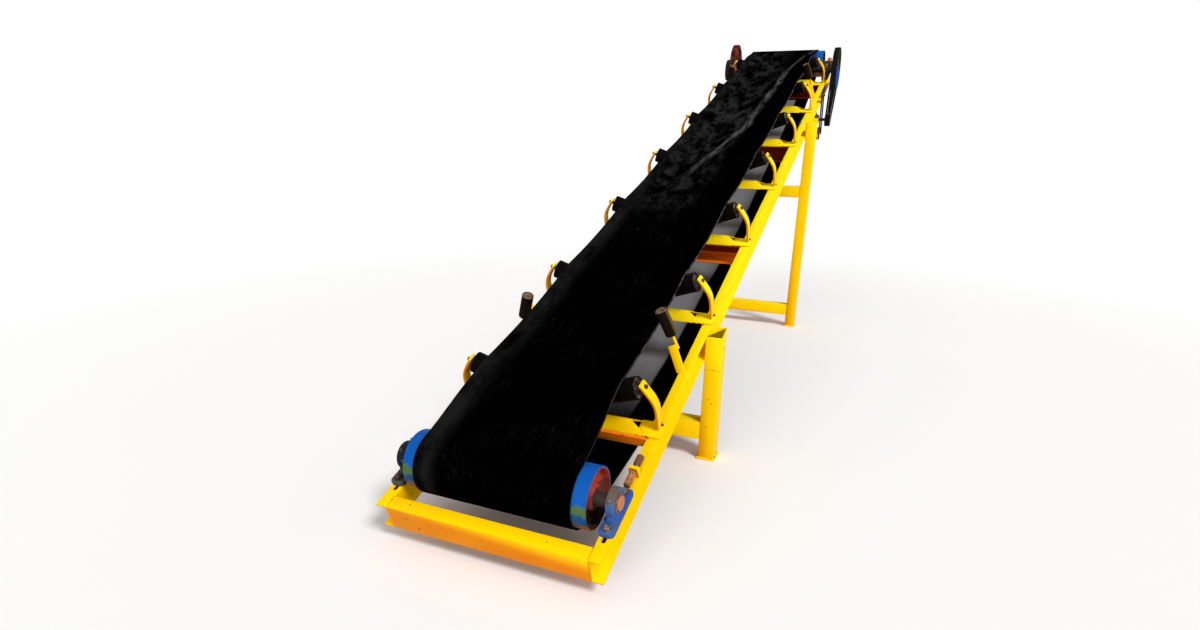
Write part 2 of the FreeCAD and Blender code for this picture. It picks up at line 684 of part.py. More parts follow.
def belt_shape():
    """One closed loop: troughed carrying run, flat ends on the pulleys and a slack return run."""
    thick = measure("belt_thick")
    gap = measure("seat_gap")
    axis = measure("bearing_height")
    tail, head = measure("tail_pulley_along"), measure("head_pulley_along")
    tail_inner = measure("tail_pulley_radius") + gap
    head_inner = measure("head_pulley_radius") + gap
    first, last = measure(station(STATIONS[0])), measure(station(STATIONS[-1]))
    trough, fold = trough_points()
    start, end = wire_at(first, trough), wire_at(last, trough)
    pieces = [Part.Face(start).extrude(FreeCAD.Vector(0, last - first, 0))]
    for wire, along, radius in ((start, tail, tail_inner), (end, head, head_inner)):
        flat = wire_at(along, flat_points(axis + radius, fold))
        pieces.append(Part.makeLoft([wire, flat], True, True))

    # The return run hangs in three spans; each is an arc through its lowest point.
    supports = [measure(f"{station(index)} - drop_plate_along") for index in RETURN_STATIONS]
    level = -measure("return_drop")
    sags = [measure(name) for name in ("first_sag", "middle_sag", "last_sag")]
    tail_fall = (axis - tail_inner - level) / (supports[0] - tail) + 4 * sags[0] / (supports[0] - tail)
    head_rise = (axis - head_inner - level) / (head - supports[1]) + 4 * sags[2] / (head - supports[1])
    tail_turn = 270 - math.degrees(math.atan(tail_fall))
    head_turn = math.degrees(math.atan(head_rise)) - 90

    def rim(centre, radius, angle):
        turned_by = math.radians(angle)
        return FreeCAD.Vector(0, centre + radius * math.cos(turned_by),
                              axis + radius * math.sin(turned_by))
    upper = [rim(tail, tail_inner, tail_turn)]
    upper += [FreeCAD.Vector(0, along, level) for along in supports]
    upper.append(rim(head, head_inner, head_turn))
    lower = [rim(tail, tail_inner + thick, tail_turn)]
    lower += [FreeCAD.Vector(0, along, level - thick) for along in supports]
    lower.append(rim(head, head_inner + thick, head_turn))

    def hanging(points):
        arcs = []
        for begin, finish_point, sag in zip(points, points[1:], sags):
            low = (begin + finish_point) * 0.5 - FreeCAD.Vector(0, 0, sag)
            arcs.append(Part.Arc(begin, low, finish_point).toShape())
        return arcs
    edges = hanging(upper) + [Part.makeLine(upper[-1], lower[-1])]
    edges += hanging(lower) + [Part.makeLine(lower[0], upper[0])]
    flats = [Part.Face(Part.Wire(Part.__sortEdges__(edges)))]
    flats.append(ring_piece(FreeCAD.Vector(0, tail, axis), tail_inner, tail_inner + thick, 90, tail_turn))
    flats.append(ring_piece(FreeCAD.Vector(0, head, axis), head_inner, head_inner + thick, head_turn, 90))
    width = measure("belt_width")
    for face in flats:
        face.translate(FreeCAD.Vector(-width / 2, 0, 0))
        pieces.append(face.extrude(FreeCAD.Vector(width, 0, 0)))
    return pieces[0].fuse(pieces[1:]).removeSplitter()


def make_return_rollers():
    """Two rollers under the return run, on plates that hang from the deep cross channels."""
    rollers, plates = [], []
    for index in RETURN_STATIONS:
        along = f"{station(index)} - drop_plate_along"
        shell = cross_rod(f"return_shell_{index + 1}", "return_roller_radius", "-return_roller_half",
                          "return_roller_half", along, "return_axis")
        end = "drop_plate_x + drop_plate_thick"
        spindle = cross_rod(f"return_spindle_{index + 1}", "spindle_radius", f"-({end})", end, along,
                            "return_axis")
        rollers.append(join(f"return_roller_{index + 1}", [shell, spindle]))
        for word, side in SIDES:
            name = f"{word}_{index + 1}"
            plate = block(f"drop_bar_{name}", span(side, "drop_plate_x", end),
                          (f"{along} - drop_plate_width / 2", f"{along} + drop_plate_width / 2"),
                          ("return_axis - drop_plate_width / 2", "-stringer_depth"))
            low, high = span(side, "drop_plate_x - drop_plate_gap", f"{end} + drop_plate_gap")
            seat = cross_rod(f"drop_seat_{name}", "spindle_radius + fixed_gap", low, high, along,
                             "return_axis")
            plates.append(cut(f"drop_plate_{name}", plate, seat))
    finish(group("return_rollers", rollers), "return_rollers")
    finish(group("return_roller_plates", plates), "return_roller_plates")


# --- pulleys, shafts and bearings -------------------------------------------------------------

def make_pulley(label, radius, along, half, shift="0"):
    """A steel shell with a recessed disc and a hub near each end."""
    bore = "shaft_radius + running_gap"
    disc_out = f"{half} - disc_recess"
    disc_in = f"{disc_out} - disc_thick"
    hub_out, hub_in = f"{disc_out} + hub_reach", f"{disc_in} - hub_reach"
    under = f"{radius} - shell_thick"
    right = [(hub_in, bore), (hub_out, bore), (hub_out, "hub_radius"), (disc_out, "hub_radius"),
             (disc_out, under), (half, under), (half, radius)]
    left = [(f"-({x})", r) for x, r in reversed(right)]
    inside = [("hub_radius", hub_in), ("hub_radius", disc_in), (under, disc_in)]
    points = right + left
    points += [(f"-({x})", r) for r, x in inside]
    points += [(x, r) for r, x in reversed(inside)]
    body = turned(label, points)
    on_line(body, shift, along, "bearing_height")
    finish(body, label, line=False)


def make_shaft(label, along, left, right):
    shaft = cross_rod(f"{label}_bar", "shaft_radius", left, right, along, "bearing_height")
    finish(group(label, [shaft]), label)


def make_pillow_block(name, side, along):
    """A cast block: long foot, a narrower round housing over it, bored for the shaft."""
    across = span(side, "housing_inner", "housing_outer")
    foot = block(f"{name}_foot", span(side, "bearing_inner", "bearing_outer"),
                 (f"{along} - bearing_length / 2", f"{along} + bearing_length / 2"), ("0", "bearing_foot"))
    neck = block(f"{name}_neck", across, (f"{along} - bearing_round", f"{along} + bearing_round"),
                 ("0", "bearing_height"))
    housing = cross_rod(f"{name}_housing", "bearing_round", *across, along, "bearing_height")
    bore = cross_rod(f"{name}_bore", "shaft_radius + running_gap", f"{across[0]} - shaft_stub",
                     f"{across[1]} + shaft_stub", along, "bearing_height")
    return cut(name, join(f"{name}_casting", [foot, neck, housing]), bore)


def make_bearings(label, along):
    blocks = [make_pillow_block(f"{label}_{word}", side, along) for word, side in SIDES]
    finish(group(label, blocks), label)


def make_take_ups():
    """A screw behind each tail bearing, held by a lug on the stringer."""
    screws, lugs = [], []
    start = "tail_pulley_along + bearing_length / 2"
    lug_front = f"{start} + screw_length - lug_overhang - lug_thick"
    for word, side in SIDES:
        x = f"{side} * screw_x"
        screws.append(rod(f"take_up_screw_{word}", "screw_radius", "screw_length",
                          (x, start, "screw_height"), (-1, 0, 0)))
        plate = block(f"take_up_plate_{word}",
                      span(side, "screw_x - lug_width / 2", "screw_x + lug_width / 2"),
                      (lug_front, f"{lug_front} + lug_thick"), ("0", "lug_height"))
        seat = rod(f"take_up_seat_{word}", "screw_radius + fixed_gap", "screw_length + lug_overhang",
                   (x, start, "screw_height"), (-1, 0, 0))
        lugs.append(cut(f"take_up_lug_{word}", plate, seat))
    finish(group("take_up_screws", screws), "take_up_screws")
    finish(group("take_up_lugs", lugs), "take_up_lugs")


# --- gears ------------------------------------------------------------------------------------

def gear_face(teeth, first_tooth):
    """An involute gear's outline as a face in the YZ plane, one tooth centred on first_tooth."""
    module = measure("gear_module")
    pitch = module * teeth / 2
    pressure = math.radians(PRESSURE_ANGLE)
    base = pitch * math.cos(pressure)
    tip, root = pitch + ADDENDUM * module, pitch - DEDENDUM * module
    half_pitch = (math.pi * module - measure("gear_backlash")) / (4 * pitch)

    def half_angle(radius):
        slope = math.acos(min(1.0, base / radius))
        return half_pitch + (math.tan(pressure) - pressure) - (math.tan(slope) - slope)

    def point(radius, angle):
        return FreeCAD.Vector(0, radius * math.cos(angle), radius * math.sin(angle))
    start = max(base, root)
    radii = [start + (tip - start) * step / 4 for step in range(5)]
    step = 2 * math.pi / teeth
    edges = []
    for index in range(teeth):
        centre = first_tooth + index * step
        for sense in (-1, 1):
            flank = Part.BSplineCurve()
            flank.interpolate([point(radius, centre + sense * half_angle(radius)) for radius in radii])
            edges.append(flank.toShape())
            if root < base:
                angle = centre + sense * half_angle(start)
                edges.append(Part.makeLine(point(root, angle), point(start, angle)))
        wide, narrow = half_angle(start), half_angle(tip)
        edges.append(Part.Arc(point(tip, centre - narrow), point(tip, centre),
                              point(tip, centre + narrow)).toShape())
        edges.append(Part.Arc(point(root, centre + wide), point(root, centre + step / 2),
                              point(root, centre + step - wide)).toShape())
    return Part.Face(Part.Wire(Part.__sortEdges__(edges)))


def tube(x, outer, inner, length):
    """A ring about the X axis."""
    along_x = FreeCAD.Vector(1, 0, 0)
    start = FreeCAD.Vector(x, 0, 0)
    return Part.makeCylinder(outer, length, start, along_x).cut(
        Part.makeCylinder(inner, length, start, along_x))


def head_gear_shape():
    """The large spoked gear, modelled about the head shaft."""
    teeth = int(measure("gear_teeth"))
    width = measure("gear_width")
    left = -measure("gear_outer")
    root = measure("gear_module") * (teeth / 2 - DEDENDUM)
    rim_inner = root - measure("gear_rim")
    hub = measure("gear_hub_radius")
    face = gear_face(teeth, math.pi / teeth)
    face.translate(FreeCAD.Vector(left, 0, 0))
    blank = face.extrude(FreeCAD.Vector(width, 0, 0))
    rim = blank.cut(Part.makeCylinder(rim_inner, width, FreeCAD.Vector(left, 0, 0),
                                      FreeCAD.Vector(1, 0, 0)))
    pieces = [tube(left, hub, measure("shaft_radius + running_gap"), width)]
    thick, spoke = measure("spoke_thick"), measure("spoke_width")
    overlap = measure("spoke_overlap")
    for index in range(SPOKES):
        bar = Part.makeBox(thick, rim_inner - hub + 2 * overlap, spoke,
                           FreeCAD.Vector(left + (width - thick) / 2, hub - overlap, -spoke / 2))
        bar.rotate(FreeCAD.Vector(), FreeCAD.Vector(1, 0, 0), 360 / SPOKES * index)
        pieces.append(bar)
    return rim.fuse(pieces).removeSplitter()


def pinion_shape():
    """The small gear, modelled about the countershaft."""
    face = gear_face(int(measure("pinion_teeth")), 0.0)
    left = -measure("gear_outer")
    face.translate(FreeCAD.Vector(left, 0, 0))
    width = measure("gear_width")
    bore = Part.makeCylinder(measure("shaft_radius + running_gap"), width, FreeCAD.Vector(left, 0, 0),
                             FreeCAD.Vector(1, 0, 0))
    return face.extrude(FreeCAD.Vector(width, 0, 0)).cut(bore)


def make_gears():
    gear = shaped("head_gear", head_gear_shape())
    on_line(gear, "0", "head_pulley_along", "bearing_height")
    finish(gear, "head_gear", line=False)
    pinion = shaped("pinion", pinion_shape())
    on_line(pinion, "0", "countershaft_along", "bearing_height")
    finish(pinion, "pinion", line=False)
    guard = shaped("pinion_guard", pinion_guard_shape())
    finish(guard, "pinion_guard")


def pinion_guard_shape():
    """A bent sheet over the tail side of the pinion, with a side plate footed on the stringer."""
    outer = measure("guard_radius")
    thick = measure("guard_thick")
    centre = FreeCAD.Vector(0, measure("countershaft_along"), measure("bearing_height"))
    right = -measure("half_width + guard_gap")
    length = measure("gear_width + gear_gap")
    sheet_face = ring_piece(centre, outer - thick, outer, GUARD_START, GUARD_END)
    sheet_face.translate(FreeCAD.Vector(right - length, 0, 0))
    cover = sheet_face.extrude(FreeCAD.Vector(length, 0, 0))
    side_face = ring_piece(centre, measure("bearing_round"), outer - thick / 2, GUARD_START,
                           GUARD_END)
    side_face.translate(FreeCAD.Vector(right - thick, 0, 0))
    side_plate = side_face.extrude(FreeCAD.Vector(thick, 0, 0))
    width = measure("guard_post_width")
    corner = FreeCAD.Vector(right - thick,
                            centre.y - measure("bearing_length / 2 + guard_post_gap") - width, 0)
    post = Part.makeBox(thick, width, centre.z, corner)
    foot = Part.makeBox(measure("guard_foot"), width, thick, corner)
    return cover.fuse([side_plate, post, foot]).removeSplitter()


# --- V-belt drive and motor -------------------------------------------------------------------

def sheave_outline(radius, web, rim, hub, bore):
    """Half section of a grooved sheave about x = 0, as (x, radius) formulas."""
    half = "sheave_width / 2"
    points = [(f"-({half})", radius)]
    for groove in GROOVES:
        middle = f"{groove} * groove_pitch"
        points += [(f"{middle} - groove_top / 2", radius),
                   (f"{middle} - groove_bottom / 2", f"{radius} - groove_depth"),
                   (f"{middle} + groove_bottom / 2", f"{radius} - groove_depth"),
                   (f"{middle} + groove_top / 2", radius)]
    points.append((half, radius))
    if web:
        inside = f"{radius} - groove_depth - {rim}"
        points += [(half, inside), ("sheave_web / 2", inside), ("sheave_web / 2", hub), (half, hub),
                   (half, bore), (f"-({half})", bore), (f"-({half})", hub), ("-sheave_web / 2", hub),
                   ("-sheave_web / 2", inside), (f"-({half})", inside)]
    else:
        points += [(half, bore), (f"-({half})", bore)]
    return points


def make_sheaves():
    big = turned("v_sheave", sheave_outline("sheave_radius", True, "sheave_rim", "hub_radius",
                                            "shaft_radius + running_gap"))
    on_line(big, "sheave_middle", "countershaft_along", "bearing_height")
    finish(big, "v_sheave", line=False)
    small = turned("motor_sheave", sheave_outline("motor_sheave_radius", False, "0", "0",
                                                  "motor_shaft_radius + running_gap"))
    on_line(small, "sheave_middle", "motor_along", "-motor_drop")
    finish(small, "motor_sheave", line=False)


def loop_face(big, big_radius, small, small_radius):
    """A face inside the loop around two circles in the YZ plane."""
    line = small - big
    distance = line.Length
    heading = math.atan2(line.z, line.y)
    spread = math.acos((big_radius - small_radius) / distance)

    def point(centre, radius, angle):
        return centre + FreeCAD.Vector(0, radius * math.cos(angle), radius * math.sin(angle))
    one, two = heading + spread, heading - spread
    edges = [
        Part.makeLine(point(big, big_radius, one), point(small, small_radius, one)),
        Part.Arc(point(small, small_radius, one), point(small, small_radius, heading),
                 point(small, small_radius, two)).toShape(),
        Part.makeLine(point(small, small_radius, two), point(big, big_radius, two)),
        Part.Arc(point(big, big_radius, two), point(big, big_radius, heading + math.pi),
                 point(big, big_radius, one)).toShape(),
    ]
    return Part.Face(Part.Wire(edges))


def v_belts_shape():
    """Three belts, each in its grooves of the two sheaves."""
    big = FreeCAD.Vector(0, measure("countershaft_along"), measure("bearing_height"))
    small = FreeCAD.Vector(0, measure("motor_along"), -measure("motor_drop"))
    radii = [measure(name) for name in ("sheave_radius", "motor_sheave_radius")]
    inside, outside = measure("v_belt_inside"), measure("v_belt_outside")
    width = measure("v_belt_width")
    outer = loop_face(big, radii[0] + outside, small, radii[1] + outside)
    inner = loop_face(big, radii[0] - inside, small, radii[1] - inside)
    ring = outer.cut(inner)
    belts = []
    for groove in GROOVES:
        middle = measure(f"sheave_middle + {groove} * groove_pitch")
        belt = ring.copy()
        belt.translate(FreeCAD.Vector(middle - width / 2, 0, 0))
        belts.append(belt.extrude(FreeCAD.Vector(width, 0, 0)))
    return Part.makeCompound([belt.Solids[0] for belt in belts])


def make_motor():
    """The motor on its platform, the platform's bearers and the bars that hang them."""
    right = "half_width - motor_gap"
    left = f"{right} - motor_length"
    along = "motor_along"
    barrel = cross_rod("motor_barrel", "motor_radius", left, right, along, "-motor_drop")
    feet = block("motor_feet", (f"{left} + motor_gap", f"{right} - motor_gap"),
                 (f"{along} - motor_foot_half", f"{along} + motor_foot_half"),
                 ("platform_top", "platform_top + platform_thick * 2"))
    pedestal = block("motor_pedestal", (f"{left} + motor_gap", f"{right} - motor_gap"),
                     (f"{along} - pedestal_half", f"{along} + pedestal_half"),
                     ("platform_top", "-motor_drop"))
    casing = join("motor_casing", [barrel, feet, pedestal])
    seat = cross_rod("motor_seat", "motor_shaft_radius + running_gap",
                     f"{right} - motor_shaft_seat - fixed_gap", "half_width", along, "-motor_drop")
    finish(cut("motor", casing, seat), "motor")
    shaft = cross_rod("motor_shaft_rod", "motor_shaft_radius", f"{right} - motor_shaft_seat",
                      "sheave_outer", along, "-motor_drop")
    finish(group("motor_shaft", [shaft]), "motor_shaft")


def make_motor_platform():
    along = "motor_along"
    ends = (f"{along} - platform_half", f"{along} + platform_half")
    bearers = []
    for name, low, upright in (("front", ends[0], ends[0]),
                               ("back", f"{ends[1]} - bearer_size", f"{ends[1]} - flange_thick")):
        flat = block(f"bearer_flat_{name}", ("-half_width", "half_width"),
                     (low, f"{low} + bearer_size"), ("bearer_top - flange_thick", "bearer_top"))
        web = block(f"bearer_web_{name}", ("-half_width", "half_width"),
                    (upright, f"{upright} + flange_thick"), ("bearer_top - bearer_size", "bearer_top"))
        bearers.append(join(f"bearer_{name}", [flat, web]))
    finish(group("motor_bearers", bearers), "motor_bearers")
    plate = block("motor_plate", ("half_width - motor_gap - motor_length - motor_gap", "half_width"),
                  ends, ("bearer_top", "platform_top"))
    finish(group("motor_platform", [plate]), "motor_platform")
    hangers = []
    for word, side in SIDES:
        for name, low in (("front", ends[0]), ("back", f"{ends[1]} - hanger_width")):
            hangers.append(block(f"hanger_{word}_{name}",
                                 span(side, "half_width", "half_width + hanger_thick"),
                                 (low, f"{low} + hanger_width"),
                                 ("bearer_top - bearer_size", "-hanger_top")))
    finish(group("motor_hangers", hangers), "motor_hangers")


# --- belt guide rollers -----------------------------------------------------------------------

def guide_rod(name, side, radius, below, above_it, along):
    """A bar on a guide roller's axis, from below its lower end to a length up from that end."""
    x = f"{side} * (guide_x + ({below}) * sin(guide_lean))"
    z = f"guide_height - ({below}) * cos(guide_lean)"
    return rod(name, radius, f"({below}) + ({above_it})", (x, along, z), (0, -side, 0), "guide_lean")


def slanted_bar(name, x, along, run_x, run_along):
    """A flat bar with level ends, from the stringer's top up a slanting line."""
    end = doc.addObject("Part::Plane", f"{name}_end")
    bind(end, "Length", "guide_bar_width")
    bind(end, "Width", "guide_bar_thick")
    place(end, f"{x} - guide_bar_width / 2", f"{along} - guide_bar_thick / 2")
    bar = doc.addObject("Part::Extrusion", name)
    bar.Base = end
    bar.DirMode = "Custom"
    bar.Solid = True
    for axis, run in zip("xyz", (run_x, run_along, "guide_bar_height")):
        bind(bar, f"Dir.{axis}", run)
    return bar


def make_guides():
    """Two pairs of leaning rollers that keep the belt's edges in line."""
    brackets = []
    for pair, foot in (("front", "first_guide_along"), ("back", "second_guide_along")):
        along = f"{foot} + guide_reach"
        for word, side in SIDES:
            name = f"{pair}_{word}"
            bar = slanted_bar(f"guide_bar_{name}", f"{side} * guide_bar_x", foot,
                              f"{side} * (guide_bar_top_x - guide_bar_x)",
                              "guide_reach - guide_spindle_radius")
            spindle = guide_rod(f"guide_spindle_{name}", side, "guide_spindle_radius",
                                "guide_spindle_drop", "guide_bore - guide_spindle_end", along)
            brackets.append(join(f"guide_bracket_{name}", [bar, spindle]))
            shell = guide_rod(f"guide_shell_{name}", side, "guide_radius", "0", "guide_length", along)
            bore = guide_rod(f"guide_bore_{name}", side, "guide_spindle_radius + running_gap",
                             "guide_spindle_end", "guide_bore", along)
            label = f"guide_roller_{name}"
            finish(cut(f"{label}_cut", shell, bore), label)
    finish(group("guide_brackets", brackets), "guide_brackets")


# --- the whole conveyor -----------------------------------------------------------------------

for word, side in SIDES:
    make_stringer(f"stringer_{word}", side)
make_cross_members()
make_stands()
make_idlers()
belt = shaped("belt", belt_shape())
finish(belt, "belt")
make_return_rollers()
make_pulley("tail_pulley", "tail_pulley_radius", "tail_pulley_along", "tail_pulley_half")
make_shaft("tail_shaft", "tail_pulley_along", "-(shaft_end)", "shaft_end")
make_bearings("tail_bearings", "tail_pulley_along")
make_take_ups()
make_pulley("head_pulley", "head_pulley_radius", "head_pulley_along", "head_pulley_half",
            "head_pulley_shift")
make_shaft("head_shaft", "head_pulley_along", "-gear_outer", "shaft_end")
make_bearings("head_bearings", "head_pulley_along")
make_shaft("countershaft", "countershaft_along", "-gear_outer", "sheave_outer")
make_bearings("countershaft_bearings", "countershaft_along")
make_gears()
make_sheaves()
v_belts = shaped("v_belts", v_belts_shape())
finish(v_belts, "v_belts")
make_motor()
make_motor_platform()
make_guides()

doc.recompute()
for item in doc.Objects:
    if "Invalid" in item.State or "Error" in item.State:
        raise RuntimeError(f"{item.Name} failed: {item.State}")
for node in nodes:
    if node.Shape.isNull() or not node.Shape.isValid():
        raise RuntimeError(f"{node.Label} has no valid shape")
for node in nodes:
    node.Shape.exportStep(f"parts/{node.Label}.step")
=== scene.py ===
"""Dresses a troughed belt conveyor around its frame: paint, rubber, castings, bolts and welds."""

import json
import logging
import math
import random
from contextlib import contextmanager
from dataclasses import dataclass, field
from enum import Enum, IntEnum
from typing import Callable, Iterator, Sequence

import bmesh
import bpy
from mathutils import Matrix, Vector

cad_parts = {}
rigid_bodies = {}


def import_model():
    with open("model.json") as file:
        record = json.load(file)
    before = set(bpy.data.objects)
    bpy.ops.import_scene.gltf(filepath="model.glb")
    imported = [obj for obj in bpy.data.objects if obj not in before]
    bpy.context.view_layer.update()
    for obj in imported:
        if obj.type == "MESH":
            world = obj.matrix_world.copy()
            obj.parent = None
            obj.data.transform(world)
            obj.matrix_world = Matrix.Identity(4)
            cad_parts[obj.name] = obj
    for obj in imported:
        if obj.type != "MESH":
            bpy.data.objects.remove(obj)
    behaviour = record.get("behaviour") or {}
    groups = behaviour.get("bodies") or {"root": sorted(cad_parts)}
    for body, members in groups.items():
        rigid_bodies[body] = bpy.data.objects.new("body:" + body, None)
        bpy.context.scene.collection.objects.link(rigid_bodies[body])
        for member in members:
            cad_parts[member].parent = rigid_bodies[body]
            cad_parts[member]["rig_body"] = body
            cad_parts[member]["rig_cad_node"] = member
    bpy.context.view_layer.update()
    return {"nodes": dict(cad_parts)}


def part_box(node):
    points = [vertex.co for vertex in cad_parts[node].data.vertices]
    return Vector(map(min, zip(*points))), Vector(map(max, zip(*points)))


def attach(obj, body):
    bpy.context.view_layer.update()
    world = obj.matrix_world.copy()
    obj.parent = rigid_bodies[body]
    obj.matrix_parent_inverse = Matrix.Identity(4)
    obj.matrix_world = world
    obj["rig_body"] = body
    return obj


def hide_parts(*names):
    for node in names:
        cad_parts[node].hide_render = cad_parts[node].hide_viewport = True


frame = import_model()

LOG = logging.getLogger("conveyor")
Piece = bpy.types.Object
Finish = bpy.types.Material
Test = Callable[[Vector, Vector], bool]
Pair = tuple[float, float]
Triple = tuple[float, float, float]
Socket = bpy.types.NodeSocket

TAU = 2 * math.pi
SEED = 7
# Corners nearer than this are one corner, and faces within this angle are one flat face.
MERGE_GAP = 1e-5
FLAT_ANGLE = math.radians(0.5)
# The side the light comes from: faces turned to it are painted paler and yellower,
# faces turned away darker and more orange, as painted light and shade.
PAINTED_LIGHT_SIDE = (0.447, -0.298, 0.843)


class Body(Enum):
    """The bodies that pieces ride on."""

    FRAME = "frame"
    HEAD = "head_drum"
    COUNTER = "countershaft"
    MOTOR = "motor_rotor"
    TAIL = "tail_drum"


class Slot(Enum):
    """The record's material slots."""

    YELLOW = "yellow_paint"
    BLUE = "blue_paint"
    ROLLER = "roller_steel"
    SHAFT = "shaft_steel"
    RUST = "rusty_steel"
    BELT = "belt_rubber"
    DRIVE = "drive_rubber"
    GEAR = "gear_iron"
    GREASE = "greasy_iron"
    BLACK = "black_paint"
    SHEAVE = "sheave_iron"
    MOTOR = "motor_paint"


class Side(IntEnum):
    """Right and left, seen from the tail."""

    RIGHT = 1
    LEFT = -1


# --- the working line ---


@dataclass(frozen=True)
class Line:
    """The sloping line: x across, y along from the tail end, z above the stringers' top faces."""

    incline: float = math.radians(20.0)
    depth: float = 0.125

    def matrix(self) -> Matrix:
        """Work out where the line stands.

        Returns:
            The transform from the line to the floor frame.
        """
        low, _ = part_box("stringer_left")
        start = Vector((0.0, low.y, low.z + self.depth * math.cos(self.incline)))
        return Matrix.Translation(start) @ Matrix.Rotation(self.incline, 4, "X")


@dataclass(frozen=True)
class Plan:
    """What several sub-assemblies share: places along the line, shaft height, pulley radii."""

    tail: float = 0.232
    counter: float = 6.45
    head: float = 6.71
    shafts: float = 0.07
    tail_radius: float = 0.125
    head_radius: float = 0.13
    first_idler: float = 0.74
    last_idler: float = 6.2
    idler_pitch: float = 0.91
    returns: Pair = (2.525, 4.345)


LINE = Line().matrix()
PLAN = Plan()


def aimed(place: Sequence[float], up: Sequence[float], turn: float = 0.0) -> Matrix:
    """Place something modelled on Z so that it stands at a point along a direction.

    Args:
        place: Where its origin goes.
        up: The direction its Z axis takes.
        turn: A turn about that axis first, in radians.

    Returns:
        The transform.
    """
    facing = Vector(up).to_track_quat("Z", "Y").to_matrix().to_4x4()
    return Matrix.Translation(Vector(place)) @ facing @ Matrix.Rotation(turn, 4, "Z")


# --- hand tools ---


